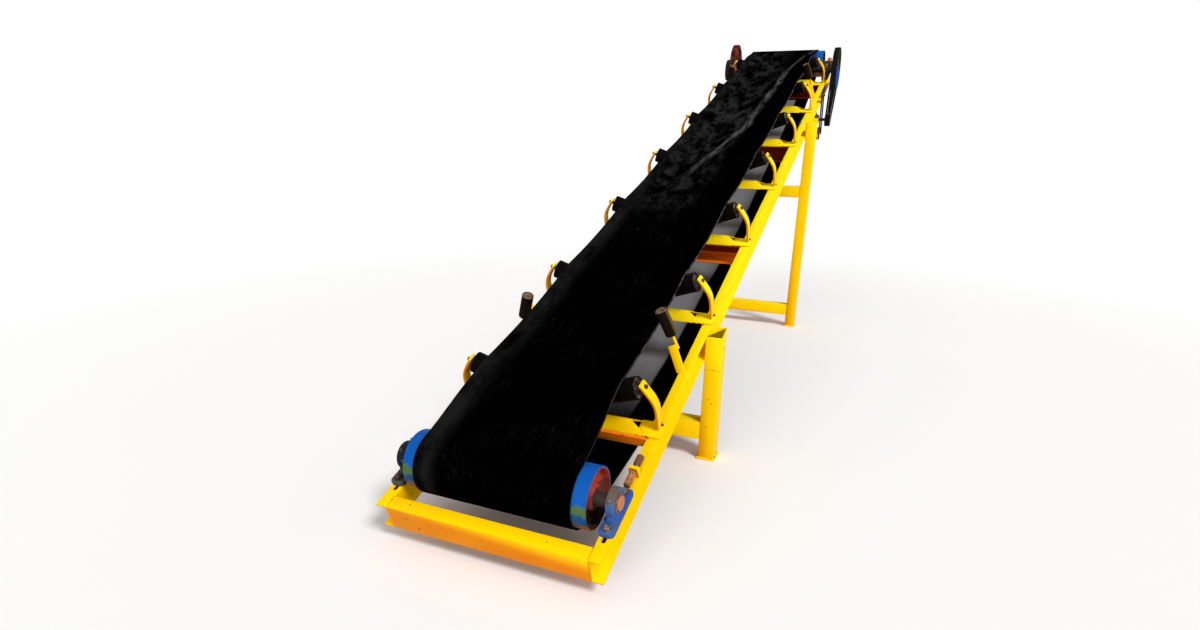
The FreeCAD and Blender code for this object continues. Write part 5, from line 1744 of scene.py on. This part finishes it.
@dataclass
class PillowBlock:
    """A cast bearing block: foot, round housing, inner ring, bolts and a grease nipple."""

    length: float = 0.238
    width: float = 0.065
    housing: float = 0.034
    ring: float = 0.041
    foot: float = 0.022
    corner: float = 0.016
    round: float = 0.0605
    axis: float = PLAN.shafts
    bore: float = 0.0306
    seat: float = 0.0035
    bolt_y: float = 0.094
    pad: float = 0.003
    voxel: float = 0.0027

    def casting(self) -> Piece:
        """Cast the body: foot, webs and housing run together as in sand.

        Returns:
            The body, with its bore.
        """
        half, deep, slim = self.width / 2, self.length / 2, self.housing / 2
        foot = Bench.box((-half, -deep, 0), (half, deep, self.foot))
        with Bench.editing(foot, "EDGE"):
            Bench.pick_edges(foot, lambda middle, along: abs(along.z) > 0.9)
            bpy.ops.mesh.bevel(offset=self.corner, segments=4, affect="EDGES")
        web = Bench.box((-slim * 0.8, -deep * 0.66, 0.002), (slim * 0.8, deep * 0.66, self.axis))
        with Bench.editing(web):
            Bench.pick(web, lambda centre, normal: normal.z > 0.9)
            bpy.ops.transform.resize(value=(1, 0.62, 1))
        pads = [Bench.box((-half * 0.8, y - 0.02, self.foot - 0.002),
                          (half * 0.8, y + 0.02, self.foot + self.pad))
                for y in (-self.bolt_y, self.bolt_y)]
        axle = aimed((0, 0, self.axis), (1, 0, 0))
        housing = Bench.placed(Bench.rod(self.round, -slim, slim, 48), axle)
        whole = Bench.joined([foot, web, *pads, housing])
        Bench.modify(whole, "REMESH", mode="VOXEL", voxel_size=self.voxel)
        Bench.modify(whole, "SMOOTH", factor=0.5, iterations=7)
        for corner in whole.data.vertices:
            corner.co.z = max(corner.co.z, 0.0)
        tool = Bench.rod(self.bore + self.seat, -half * 2, half * 2, 40)
        return Bench.cut(whole, Bench.placed(tool, axle))

    def build(self, finishes: Finishes) -> Piece:
        """Build the block.

        Args:
            finishes: The finishes.

        Returns:
            The block, its shaft along X and its foot on the XY plane.
        """
        half = self.ring / 2
        body = self.casting()
        body.data.materials.append(finishes.casting)
        bore, rim = self.bore, self.round
        ring = Bench.turned([
            (bore, -half), (bore + 0.009, -half), (bore + 0.010, -half + 0.0012),
            (bore + 0.010, -half * 0.72), (rim * 0.80, -half * 0.72), (rim * 0.84, -half * 0.80),
            (rim * 0.88, -half * 0.80), (rim * 0.88, half * 0.80), (rim * 0.84, half * 0.80),
            (rim * 0.80, half * 0.72), (bore + 0.010, half * 0.72), (bore + 0.010, half - 0.0012),
            (bore + 0.009, half), (bore, half), (bore, -half)], 44)
        ring.data.materials.append(finishes.bolt)
        Bench.placed(ring, aimed((0, 0, self.axis), (1, 0, 0)))
        bolt = HexBolt(0.026, 0.013, 0.019, 0.003, 0.006).build()
        bolt.data.materials.append(finishes.bolt)
        bolts = Bench.repeated(bolt, [aimed((0, y, self.foot + 0.0025), (0, 0, 1), 0.4)
                                      for y in (-self.bolt_y, self.bolt_y)])
        nipple = Bench.turned([(0, 0), (0.006, 0), (0.006, 0.006), (0.003, 0.007), (0.003, 0.010),
                               (0.0045, 0.012), (0.0025, 0.016), (0, 0.016)], 14)
        nipple.data.materials.append(finishes.bolt)
        tilt = Vector((0, -math.sin(0.7), math.cos(0.7)))
        Bench.placed(nipple, aimed(Vector((0, 0, self.axis)) + tilt * (rim - 0.002), tilt))
        return Bench.joined([body, ring, bolts, nipple])


@dataclass
class Bearings:
    """Six pillow blocks on the stringers: at the tail, the countershaft and the head."""

    x: float = 0.475
    rows: tuple[tuple[str, float], ...] = (
        ("tail", PLAN.tail), ("countershaft", PLAN.counter), ("head", PLAN.head))

    def build(self, finishes: Finishes) -> None:
        """Build and mount the pairs of blocks.

        Args:
            finishes: The finishes.
        """
        model = PillowBlock().build(finishes)
        # The left tail block takes near-black copies of its casting and bolt finishes as painted
        # shade; the head and countershaft blocks take the casting painted near black with a sunlit
        # orange top.
        shaded_copies = {finishes.casting: finishes.shaded_casting, finishes.bolt: finishes.dark_bolt}
        for name, along in self.rows:
            pair = [Bench.copied(model, LINE @ Matrix.Translation((side * self.x, along, 0))
                                 @ Matrix.Rotation(0 if side is Side.RIGHT else math.pi, 4, "Z"))
                    for side in Side]
            for slot in pair[1].material_slots if name == "tail" else ():
                slot.material = shaded_copies[slot.material]
            both = Bench.joined(pair)
            if name != "tail":
                both.data.materials[0] = finishes.head_casting
            Store.mount(both, f"{name}_pillow_blocks", Body.FRAME, Slot.BLUE,
                        stands_for=[f"{name}_bearings"])
        bpy.data.objects.remove(model)


@dataclass
class Shaft:
    """A turned shaft with eased ends and centre holes."""

    name: str
    body: Body
    along: float
    low: float
    high: float
    radius: float = 0.03
    above: float = PLAN.shafts

    def build(self, finish: Finish) -> None:
        """Build and mount the shaft.

        Args:
            finish: Its material.
        """
        r, low, high = self.radius, self.low, self.high
        ease, hole = r * 0.08, r * 0.22
        bar = Bench.turned([(0, low + hole), (hole, low), (r - ease, low), (r, low + ease),
                            (r, high - ease), (r - ease, high), (hole, high), (0, high - hole)], 40)
        Bench.placed(bar, LINE @ aimed((0, self.along, self.above), (1, 0, 0)))
        Store.mount(bar, f"{self.name}_turned", self.body, Slot.SHAFT, finish,
                    stands_for=[self.name])


@dataclass
class Pulleys:
    """Tail and head pulleys with the tail shaft, and the ring welds round their end discs."""

    shell: float = 0.009
    tail_discs: Pair = (-0.378, 0.378)
    head_discs: Pair = (-0.322, 0.386)
    hub: float = 0.052
    shaft_end: float = 0.504
    eased: float = 0.0016
    beads: Pair = (0.003, 0.0035)
    uneven: Pair = (0.75, 1.15)

    def ring_welds(self, radius: float, along: float, discs: Pair, finish: Finish,
                   rng: random.Random) -> Piece:
        """Lay the beads that join one pulley's discs, shell and hubs.

        Args:
            radius: The pulley's radius.
            along: Its place.
            discs: Where its discs are.
            finish: Its material.
            rng: The source of unevenness.

        Returns:
            The beads.
        """
        rings = []
        for x in discs:
            for reach, thick in zip((radius - self.shell - 0.001, self.hub + 0.001), self.beads):
                ring = Bench.torus(reach, thick, 96, 8)
                for corner in ring.data.vertices:
                    corner.co.z *= rng.uniform(*self.uneven)
                Bench.placed(ring, LINE @ aimed((x, along, PLAN.shafts), (1, 0, 0)))
                rings.append(ring)
        whole = Bench.joined(rings)
        whole.data.materials.append(finish)
        return whole

    def build(self, finishes: Finishes, rng: random.Random) -> None:
        """Build and mount both pulleys.

        Args:
            finishes: The finishes.
            rng: The source of unevenness.
        """
        # The tail discs are red primer darkening downwards, painted shade with grease; the head
        # discs are black all over as painted shade.
        primer, grease = PulleyPaint.disc_bands, ((1.0, (0.012, 0.008, 0.007)),)
        for name, body, along, radius, discs, tones in (
                ("tail", Body.TAIL, PLAN.tail, PLAN.tail_radius, self.tail_discs, primer),
                ("head", Body.HEAD, PLAN.head, PLAN.head_radius, self.head_discs, grease)):
            centre = LINE @ Vector((0, along, PLAN.shafts))
            paint = PulleyPaint(f"{name}_pulley_paint", (centre.y, centre.z),
                                radius - self.shell / 2, disc_bands=tones).build()
            drum = Bench.worked(f"{name}_pulley", self.eased, 40)
            drum.data.materials.append(paint)
            whole = Bench.joined([drum, self.ring_welds(radius, along, discs, paint, rng)])
            Store.mount(whole, f"{name}_pulley_worked", body, Slot.BLUE)
        Shaft("tail_shaft", Body.TAIL, PLAN.tail, -self.shaft_end,
              self.shaft_end).build(finishes.tail_shaft)


@dataclass
class TakeUps:
    """The screws behind the tail bearings, with sleeves, lock nuts and round nuts, and the lugs."""

    start: float = 0.351
    length: float = 0.175
    x: float = 0.474
    height: float = 0.032
    radius: float = 0.01
    pitch: float = 0.003
    sleeve: Pair = (0.003, 0.076)
    lug: Pair = (0.083, 0.099)
    collar: Pair = (0.122, 0.172)
    eased: float = 0.0015

    def screw(self) -> Piece:
        """Cut a threaded bar.

        Returns:
            The bar on Z, from the origin.
        """
        profile = [(0, 0)]
        for index in range(int(self.length / self.pitch)):
            low = index * self.pitch
            profile += [(self.radius - 0.0013, low), (self.radius, low + self.pitch / 2)]
        profile += [(self.radius - 0.0013, self.length), (0, self.length)]
        return Bench.turned(profile, 16)

    def ring(self, run: Pair, outer: float, ease: float) -> Piece:
        """Turn a ring for the screw, with eased ends.

        Args:
            run: Its lower and upper end.
            outer: Its radius.
            ease: How wide the easing is.

        Returns:
            The ring.
        """
        low, high = run
        inner = self.radius + 0.0008
        return Bench.turned([(inner, low), (outer - ease, low), (outer, low + ease),
                             (outer, high - ease), (outer - ease, high), (inner, high),
                             (inner, low)], 24)

    def build(self, finishes: Finishes) -> None:
        """Build and mount the take-ups.

        Args:
            finishes: The finishes.
        """
        tube = self.ring(self.sleeve, 0.015, 0.001)
        tube.data.materials.append(finishes.sleeve)
        nut = Bench.placed(HexBolt(0.026, 0.009, 0.015, 0.002).build(),
                           aimed((0, 0, self.lug[1]), (0, 0, 1), 0.3))
        rusty = Bench.joined([self.screw(), self.ring(self.collar, 0.016, 0.002), nut])
        rusty.data.materials.append(finishes.rust)
        model = Bench.joined([rusty, tube])
        places = [LINE @ aimed((side * self.x, self.start, self.height), (0, 1, 0))
                  for side in Side]
        Store.mount(Bench.repeated(model, places), "take_up_screws_threaded", Body.FRAME,
                    Slot.SHAFT, stands_for=["take_up_screws"], smooth=30)
        Store.rework("take_up_lugs", Slot.YELLOW, finishes.yellow, self.eased)


# --- drive ---


@dataclass
class GearTrain:
    """The spoked gear on the head shaft, its pinion, their shafts and the sheet guard."""

    head_run: Pair = (-0.565, 0.504)
    counter_run: Pair = (-0.565, 0.598)
    guard_eased: float = 0.0012

    def build(self, finishes: Finishes) -> None:
        """Build and mount the gear train.

        Args:
            finishes: The finishes.
        """
        Store.rework("head_gear", Slot.GEAR, finishes.gear, body=Body.HEAD)
        Store.rework("pinion", Slot.GREASE, finishes.grease, body=Body.COUNTER)
        Shaft("head_shaft", Body.HEAD, PLAN.head, *self.head_run).build(finishes.shaft)
        Shaft("countershaft", Body.COUNTER, PLAN.counter, *self.counter_run).build(finishes.grease)
        Store.rework("pinion_guard", Slot.BLACK, finishes.black, self.guard_eased)


@dataclass
class Motor:
    """A foot-mounted motor: ribbed barrel, end shields, fan cowl, terminal box and feet."""

    along: float = 6.06
    above: float = -0.32
    low: float = 0.15
    high: float = 0.48
    radius: float = 0.095
    base: float = -0.434
    ribs: int = 36
    rib_thick: float = 0.003
    rib_run: Pair = (0.098, 0.053)
    rib_gap: float = 0.75
    foot_inset: float = 0.105
    foot_thick: float = 0.014
    bolt_reach: float = 0.09
    box_low: Triple = (0.245, -0.138, -0.04)
    box_high: Triple = (0.345, -0.062, 0.045)
    gland: Triple = (0.295, -0.1, -0.04)

    def barrel(self) -> Piece:
        """Turn the body.

        Returns:
            The body on Z, from its fan end at the origin to its shaft end.
        """
        run, r = self.high - self.low, self.radius
        return Bench.turned([
            (0, 0.012), (r * 0.55, 0.012), (r * 0.55, 0.006), (r * 0.8, 0.0), (r * 0.93, 0.006),
            (r * 0.96, 0.020), (r * 0.96, 0.066), (r * 0.90, 0.070), (r * 0.84, 0.074),
            (r * 0.84, 0.080), (r * 0.97, 0.083), (r * 0.97, 0.096), (r * 0.80, 0.100),
            (r * 0.80, run - 0.055), (r * 0.97, run - 0.052), (r * 0.97, run - 0.036),
            (r * 0.88, run - 0.028), (r * 0.52, run - 0.016), (r * 0.50, run - 0.003),
            (r * 0.47, run), (0.016, run), (0.016, run - 0.02), (0, run - 0.02)], 64)

    def grille(self) -> list[Piece]:
        """Return the raised rings on the fan cowl's end."""
        return [Bench.torus(self.radius * reach, 0.002, 48, 6, height)
                for reach, height in ((0.3, 0.010), (0.5, 0.010), (0.7, 0.004))]

    def feet(self) -> list[tuple[float, int]]:
        """Return where across the line each foot stands, and on which side of the motor."""
        return [(x, sign) for x in (self.low + self.foot_inset, self.high - self.foot_inset)
                for sign in (-1, 1)]

    def spot(self, x: float, along: float, above: float) -> Triple:
        """Return a point given from the motor's axis, on the line."""
        return x, self.along + along, self.above + above

    def build(self, finishes: Finishes) -> None:
        """Build and mount the motor.

        Args:
            finishes: The finishes.
        """
        r, low, high = self.radius, self.low, self.high
        core = Bench.joined([self.barrel(), *self.grille()])
        Bench.placed(core, aimed((low, self.along, self.above), (1, 0, 0)))
        rib = Bench.box((low + self.rib_run[0], -self.rib_thick / 2, r * 0.78),
                        (high - self.rib_run[1], self.rib_thick / 2, r * 0.95))
        turns = [index / self.ribs * TAU for index in range(self.ribs)]
        places = [Matrix.Translation((0, self.along, self.above)) @ Matrix.Rotation(turn, 4, "X")
                  for turn in turns if abs(turn - math.pi) > self.rib_gap]
        ribs = Bench.repeated(Bench.rounded(rib, 0.0006, 1), places)
        extras = []
        for x, sign in self.feet():
            foot = Bench.box((x - 0.028, self.along + sign * 0.03, self.base),
                             (x + 0.028, self.along + sign * 0.103, self.base + self.foot_thick))
            web = Bench.box((x - 0.02, self.along + sign * 0.028, self.base + 0.004),
                            (x + 0.02, self.along + sign * 0.07, self.above - 0.03))
            extras += [Bench.rounded(foot, 0.004, 2), Bench.rounded(web, 0.003, 2)]
        box = Bench.box(self.spot(*self.box_low), self.spot(*self.box_high))
        with Bench.editing(box):
            Bench.pick(box, lambda centre, normal: normal.y < -0.9)
            bpy.ops.mesh.inset(thickness=0.004)
            bpy.ops.mesh.extrude_region_move(TRANSFORM_OT_translate={"value": (0, -0.006, 0)})
        extras.append(Bench.rounded(box, 0.003, 2))
        gland = Bench.turned([(0, 0), (0.012, 0), (0.012, 0.012), (0.009, 0.014), (0.009, 0.022),
                              (0, 0.022)], 8)
        extras.append(Bench.placed(gland, aimed(self.spot(*self.gland), (0, 0, -1))))
        whole = Bench.placed(Bench.joined([core, ribs, *extras]), LINE)
        Store.mount(whole, "motor_ribbed", Body.FRAME, Slot.MOTOR, finishes.motor,
                    stands_for=["motor"])
        seats = [LINE @ aimed((x, self.along + sign * self.bolt_reach, self.base + self.foot_thick),
                              (0, 0, 1)) for x, sign in self.feet()]
        bolts = Bench.repeated(HexBolt(0.019, 0.01, 0.013, 0.002, 0.006).build(), seats)
        Store.mount(bolts, "motor_foot_bolts", Body.FRAME, Slot.RUST, finishes.bolt)


@dataclass
class BeltDrive:
    """Sheaves, V-belts, the motor and the steel that hangs it."""

    rim: float = 0.19
    groove_pitch: float = 0.017
    sheave_x: float = 0.571
    belt_half: float = 0.0078
    motor_shaft: Triple = (0.44, 0.598, 0.014)
    bolt_x: float = 0.508
    bolt_reach: float = 0.08
    bolt_levels: Pair = (-0.05, -0.10)
    eased: float = 0.0015
    motor: Motor = field(default_factory=Motor)

    def belts(self, finishes: Finishes) -> None:
        """Build the V-belts: each one widens from its inner to its outer face.

        Args:
            finishes: The finishes.
        """
        piece = Bench.worked("v_belts")
        back = LINE.inverted()
        places = [back @ corner.co for corner in piece.data.vertices]
        hubs = [(PLAN.counter, PLAN.shafts), (self.motor.along, self.motor.above)]
        reach = [min((math.hypot(p.y - u, p.z - n), index) for index, (u, n) in enumerate(hubs))
                 for p in places]
        for index in range(len(hubs)):
            rims = [distance for distance, hub in reach if hub == index]
            outer = (min(rims) + max(rims)) / 2
            for corner, place, (distance, hub) in zip(piece.data.vertices, places, reach):
                if hub == index and distance > outer:
                    groove = round((place.x - self.sheave_x) / self.groove_pitch)
                    middle = self.sheave_x + groove * self.groove_pitch
                    corner.co.x = middle + math.copysign(self.belt_half, place.x - middle)
        Store.mount(piece, piece.name, Body.FRAME, Slot.DRIVE, finishes.drive_belt)

    def build(self, finishes: Finishes) -> None:
        """Build and mount the drive.

        Args:
            finishes: The finishes.
        """
        centre = LINE @ Vector((0, PLAN.counter, PLAN.shafts))
        paint = PulleyPaint(
            "sheave_paint", (centre.y, centre.z), self.rim,
            shell_bands=((1.0, (0.004, 0.006, 0.005)), (-0.10, (0.003, 0.003, 0.003))),
            disc_bands=((1.0, (0.02, 0.035, 0.03)), (0.02, (0.006, 0.08, 0.50))),
            rust=(0.05, 0.075, 0.075), edge=(0.03, 0.05, 0.05)).build()
        Store.rework("v_sheave", Slot.SHEAVE, paint, body=Body.COUNTER)
        Store.rework("motor_sheave", Slot.SHEAVE, finishes.grease, body=Body.MOTOR)
        self.belts(finishes)
        Shaft("motor_shaft", Body.MOTOR, self.motor.along, *self.motor_shaft,
              self.motor.above).build(finishes.shaft)
        self.motor.build(finishes)
        for node, finish in (("motor_bearers", finishes.yellow),
                             ("motor_platform", finishes.yellow),
                             ("motor_hangers", finishes.black)):
            Store.rework(node, Slot.YELLOW, finish, self.eased)
        seats = [LINE @ aimed((side * self.bolt_x, self.motor.along + reach, above),
                              (side, 0, 0), 0.3)
                 for side in Side for reach in (-self.bolt_reach, self.bolt_reach)
                 for above in self.bolt_levels]
        bolts = Bench.repeated(HexBolt().build(), seats)
        Store.mount(bolts, "hanger_bolts", Body.FRAME, Slot.RUST, finishes.bolt)


# --- guide rollers ---


@dataclass
class GuideRollers:
    """Four leaning steel rollers on welded brackets, which keep the belt's edges in line."""

    pairs: tuple[tuple[str, float], ...] = (("front", 1.214), ("back", 5.734))
    x: float = 0.401
    above: float = 0.17
    lean: float = math.radians(20.0)
    radius: float = 0.03
    length: float = 0.14
    bore: float = 0.009
    spindle: float = 0.008
    spindle_run: Pair = (-0.082, 0.127)
    bar_foot: Triple = (0.458, -0.064, 0.0)
    bar_top: Triple = (0.402, -0.008, 0.112)
    bar_width: float = 0.044
    bar_thick: float = 0.012

    def roller(self, finishes: Finishes) -> Piece:
        """Build a roller.

        Args:
            finishes: The finishes.

        Returns:
            The roller on Z from its open lower end, its closed top bare and rusty.
        """
        r, run = self.radius, self.length
        tube = Bench.turned([
            (self.bore, 0.004), (r * 0.62, 0.004), (r * 0.68, 0.0), (r - 0.002, 0.0), (r, 0.002),
            (r, run - 0.0035), (r - 0.0035, run), (r * 0.72, run), (r * 0.66, run - 0.0015),
            (0, run - 0.0015), (0, run - 0.012), (self.bore, run - 0.012), (self.bore, 0.004)], 36)
        for finish in (finishes.guide, finishes.guide_cap):
            tube.data.materials.append(finish)
        for face in tube.data.polygons:
            face.material_index = int(face.center.z > run - 0.004)
        return tube

    def bracket(self, rng: random.Random) -> Piece:
        """Build a right-hand bracket.

        Args:
            rng: The source of unevenness.

        Returns:
            The bracket on the line, its roller's axis at along = 0.
        """
        foot, top = Vector(self.bar_foot), Vector(self.bar_top)
        run = (top - foot).normalized()
        across = Vector((run.z, 0, -run.x)).normalized()
        turn = Matrix((across, run.cross(across), run)).transposed().to_4x4()
        half, deep = self.bar_width / 2, self.bar_thick / 2
        bar = Bench.box((-half, -deep, -0.05), (half, deep, (top - foot).length))
        Bench.placed(Bench.rounded(bar, 0.0015, 2), Matrix.Translation(foot) @ turn)
        Bench.cut(bar, Bench.box((0.3, -0.3, -0.2), (0.6, 0.3, 0.0)))
        low, high = self.spindle_run
        rod = Bench.eased_rod(self.spindle, low, high, 0.001)
        axis = (-math.sin(self.lean), 0, math.cos(self.lean))
        Bench.placed(rod, aimed((self.x, 0, self.above), axis))
        edge = Vector((half - 0.002, 0, 0.001))
        beads = []
        for y in (-deep * 1.2, deep * 1.2):
            ends = [tuple(foot + reach + Vector((0, y, 0.001))) for reach in (-edge, edge)]
            beads.append(Weld(*ends, 0.0035).build(rng))
        return Bench.joined([bar, rod, *beads])

    def build(self, finishes: Finishes, rng: random.Random) -> None:
        """Build and mount the guide rollers and their brackets.

        Args:
            finishes: The finishes.
            rng: The source of unevenness.
        """
        model, bracket = self.roller(finishes), self.bracket(rng)
        places = []
        for pair, along in self.pairs:
            for side in Side:
                name = side.name.lower()
                axis = (-side * math.sin(self.lean), 0, math.cos(self.lean))
                place = LINE @ aimed((side * self.x, along, self.above), axis)
                Store.mount(Bench.copied(model, place), f"guide_roller_{pair}_{name}_turned",
                            f"{pair}_{name}_guide_roller", Slot.RUST,
                            stands_for=[f"guide_roller_{pair}_{name}"])
                places.append(LINE @ Matrix.Translation((0, along, 0))
                              @ Matrix.Scale(side, 4, (1, 0, 0)))
        bpy.data.objects.remove(model)
        Store.mount(Bench.repeated(bracket, places), "guide_brackets_welded", Body.FRAME,
                    Slot.YELLOW, finishes.yellow, stands_for=["guide_brackets"])


# --- studio ---


@dataclass(frozen=True)
class Lamp:
    """A far soft lamp: where it shines from, its strength, how many degrees wide it looks."""

    name: str
    towards: Triple
    strength: float
    spread: float
    colour: Triple = (1, 1, 1)

    def hang(self) -> None:
        """Hang the lamp; at strength 1 a colour that faces it shows as written."""
        data = bpy.data.lights.new(self.name, "SUN")
        data.energy, data.color = self.strength * math.pi, self.colour
        data.angle = math.radians(self.spread)
        lamp = bpy.data.objects.new(self.name, data)
        lamp.matrix_world = aimed(Vector(self.towards) * 10, self.towards)
        bpy.context.scene.collection.objects.link(lamp)


@dataclass
class Studio:
    """A pale floor, soft lights, a white surround and the camera."""

    camera_place: Triple = (1.25904, -5.15589, 1.57835)
    camera_turn: Triple = (71.6949, -1.3078, 22.7309)
    lens: float = 19.817
    sensor: float = 36.0
    shift: Pair = (-0.0023, 0.0468)
    floor_size: float = 60.0
    fade: Pair = (3.6, 7.0)
    far_clip: float = 200
    ambient: float = 0.42
    ambient_colour: Triple = (1, 0.99, 0.98)
    lamps: tuple[Lamp, ...] = (
        Lamp("key", (0.60, -0.38, 0.70), 0.72, 16.0),
        Lamp("front", (-0.05, -1.0, 0.26), 0.42, 36.0, (1.0, 0.98, 0.95)))

    def camera(self) -> None:
        """Set up the camera."""
        data = bpy.data.cameras.new("camera")
        data.lens, data.sensor_width, data.sensor_fit = self.lens, self.sensor, "HORIZONTAL"
        data.shift_x, data.shift_y = self.shift
        data.clip_end = self.far_clip
        camera = bpy.data.objects.new("camera", data)
        camera.location = self.camera_place
        camera.rotation_euler = [math.radians(angle) for angle in self.camera_turn]
        bpy.context.scene.collection.objects.link(camera)
        bpy.context.scene.camera = camera

    def floor(self) -> None:
        """Lay the floor."""
        Bench.clear()
        bpy.ops.mesh.primitive_plane_add(size=self.floor_size)
        floor = Bench.settled()
        floor.name = "studio_floor"
        tree = Tree("pale_floor")
        tone = tree.mix(tree.noise(0.6, 3), (0.93, 0.93, 0.93), (0.95, 0.95, 0.95))
        seen = tree.add("ShaderNodeLightPath").outputs["Is Camera Ray"]
        away = tree.length(tree.where)
        share = tree.times(seen, tree.band(away, *self.fade))
        tree.close(base_color=tone, roughness=0.9, specular_ior_level=0.1)
        output = next(node for node in tree.nodes if node.type == "OUTPUT_MATERIAL")
        matt = output.inputs["Surface"].links[0].from_socket
        white = tree.add("ShaderNodeEmission", {"Color": (1, 1, 1, 1), "Strength": 1.0}).outputs[0]
        both = tree.add("ShaderNodeMixShader", {0: share, 1: matt, 2: white}).outputs[0]
        tree.links.new(both, output.inputs["Surface"])
        floor.data.materials.append(tree.finish)

    def surround(self) -> None:
        """Make the world plain, and white where it is looked at."""
        world = bpy.data.worlds.new("surround")
        bpy.context.scene.world = world
        world.use_nodes = True
        nodes, links = world.node_tree.nodes, world.node_tree.links
        nodes.clear()
        seen, output = nodes.new("ShaderNodeLightPath"), nodes.new("ShaderNodeOutputWorld")
        either, mirrored = (nodes.new("ShaderNodeMath") for _ in range(2))
        either.operation = mirrored.operation = "MAXIMUM"
        light, white = (nodes.new("ShaderNodeBackground") for _ in range(2))
        mix = nodes.new("ShaderNodeMixShader")
        for node, colour, strength in ((light, self.ambient_colour, self.ambient),
                                       (white, (1, 1, 1), 1.0)):
            node.inputs[0].default_value = (*colour, 1)
            node.inputs[1].default_value = strength
        for source, target in ((seen.outputs["Is Glossy Ray"], mirrored.inputs[0]),
                               (seen.outputs["Is Transmission Ray"], mirrored.inputs[1]),
                               (seen.outputs["Is Camera Ray"], either.inputs[0]),
                               (mirrored.outputs[0], either.inputs[1]),
                               (either.outputs[0], mix.inputs[0]),
                               (light.outputs[0], mix.inputs[1]),
                               (white.outputs[0], mix.inputs[2]),
                               (mix.outputs[0], output.inputs[0])):
            links.new(source, target)

    def build(self) -> None:
        """Set up the studio."""
        self.camera()
        self.floor()
        self.surround()
        for lamp in self.lamps:
            lamp.hang()
        bpy.context.scene.view_settings.view_transform = "Standard"


def main() -> None:
    """Build the studio and every sub-assembly, in order."""
    logging.basicConfig(level=logging.INFO, format="%(name)s: %(message)s")
    rng = random.Random(SEED)
    Studio().build()
    finishes = Finishes()
    Steelwork().build(finishes, rng)
    Idlers().build(finishes, rng)
    BeltLoop().build(finishes)
    ReturnRun().build(finishes)
    Bearings().build(finishes)
    Pulleys().build(finishes, rng)
    TakeUps().build(finishes)
    GearTrain().build(finishes)
    BeltDrive().build(finishes)
    GuideRollers().build(finishes, rng)


if __name__ == "__main__":
    main()
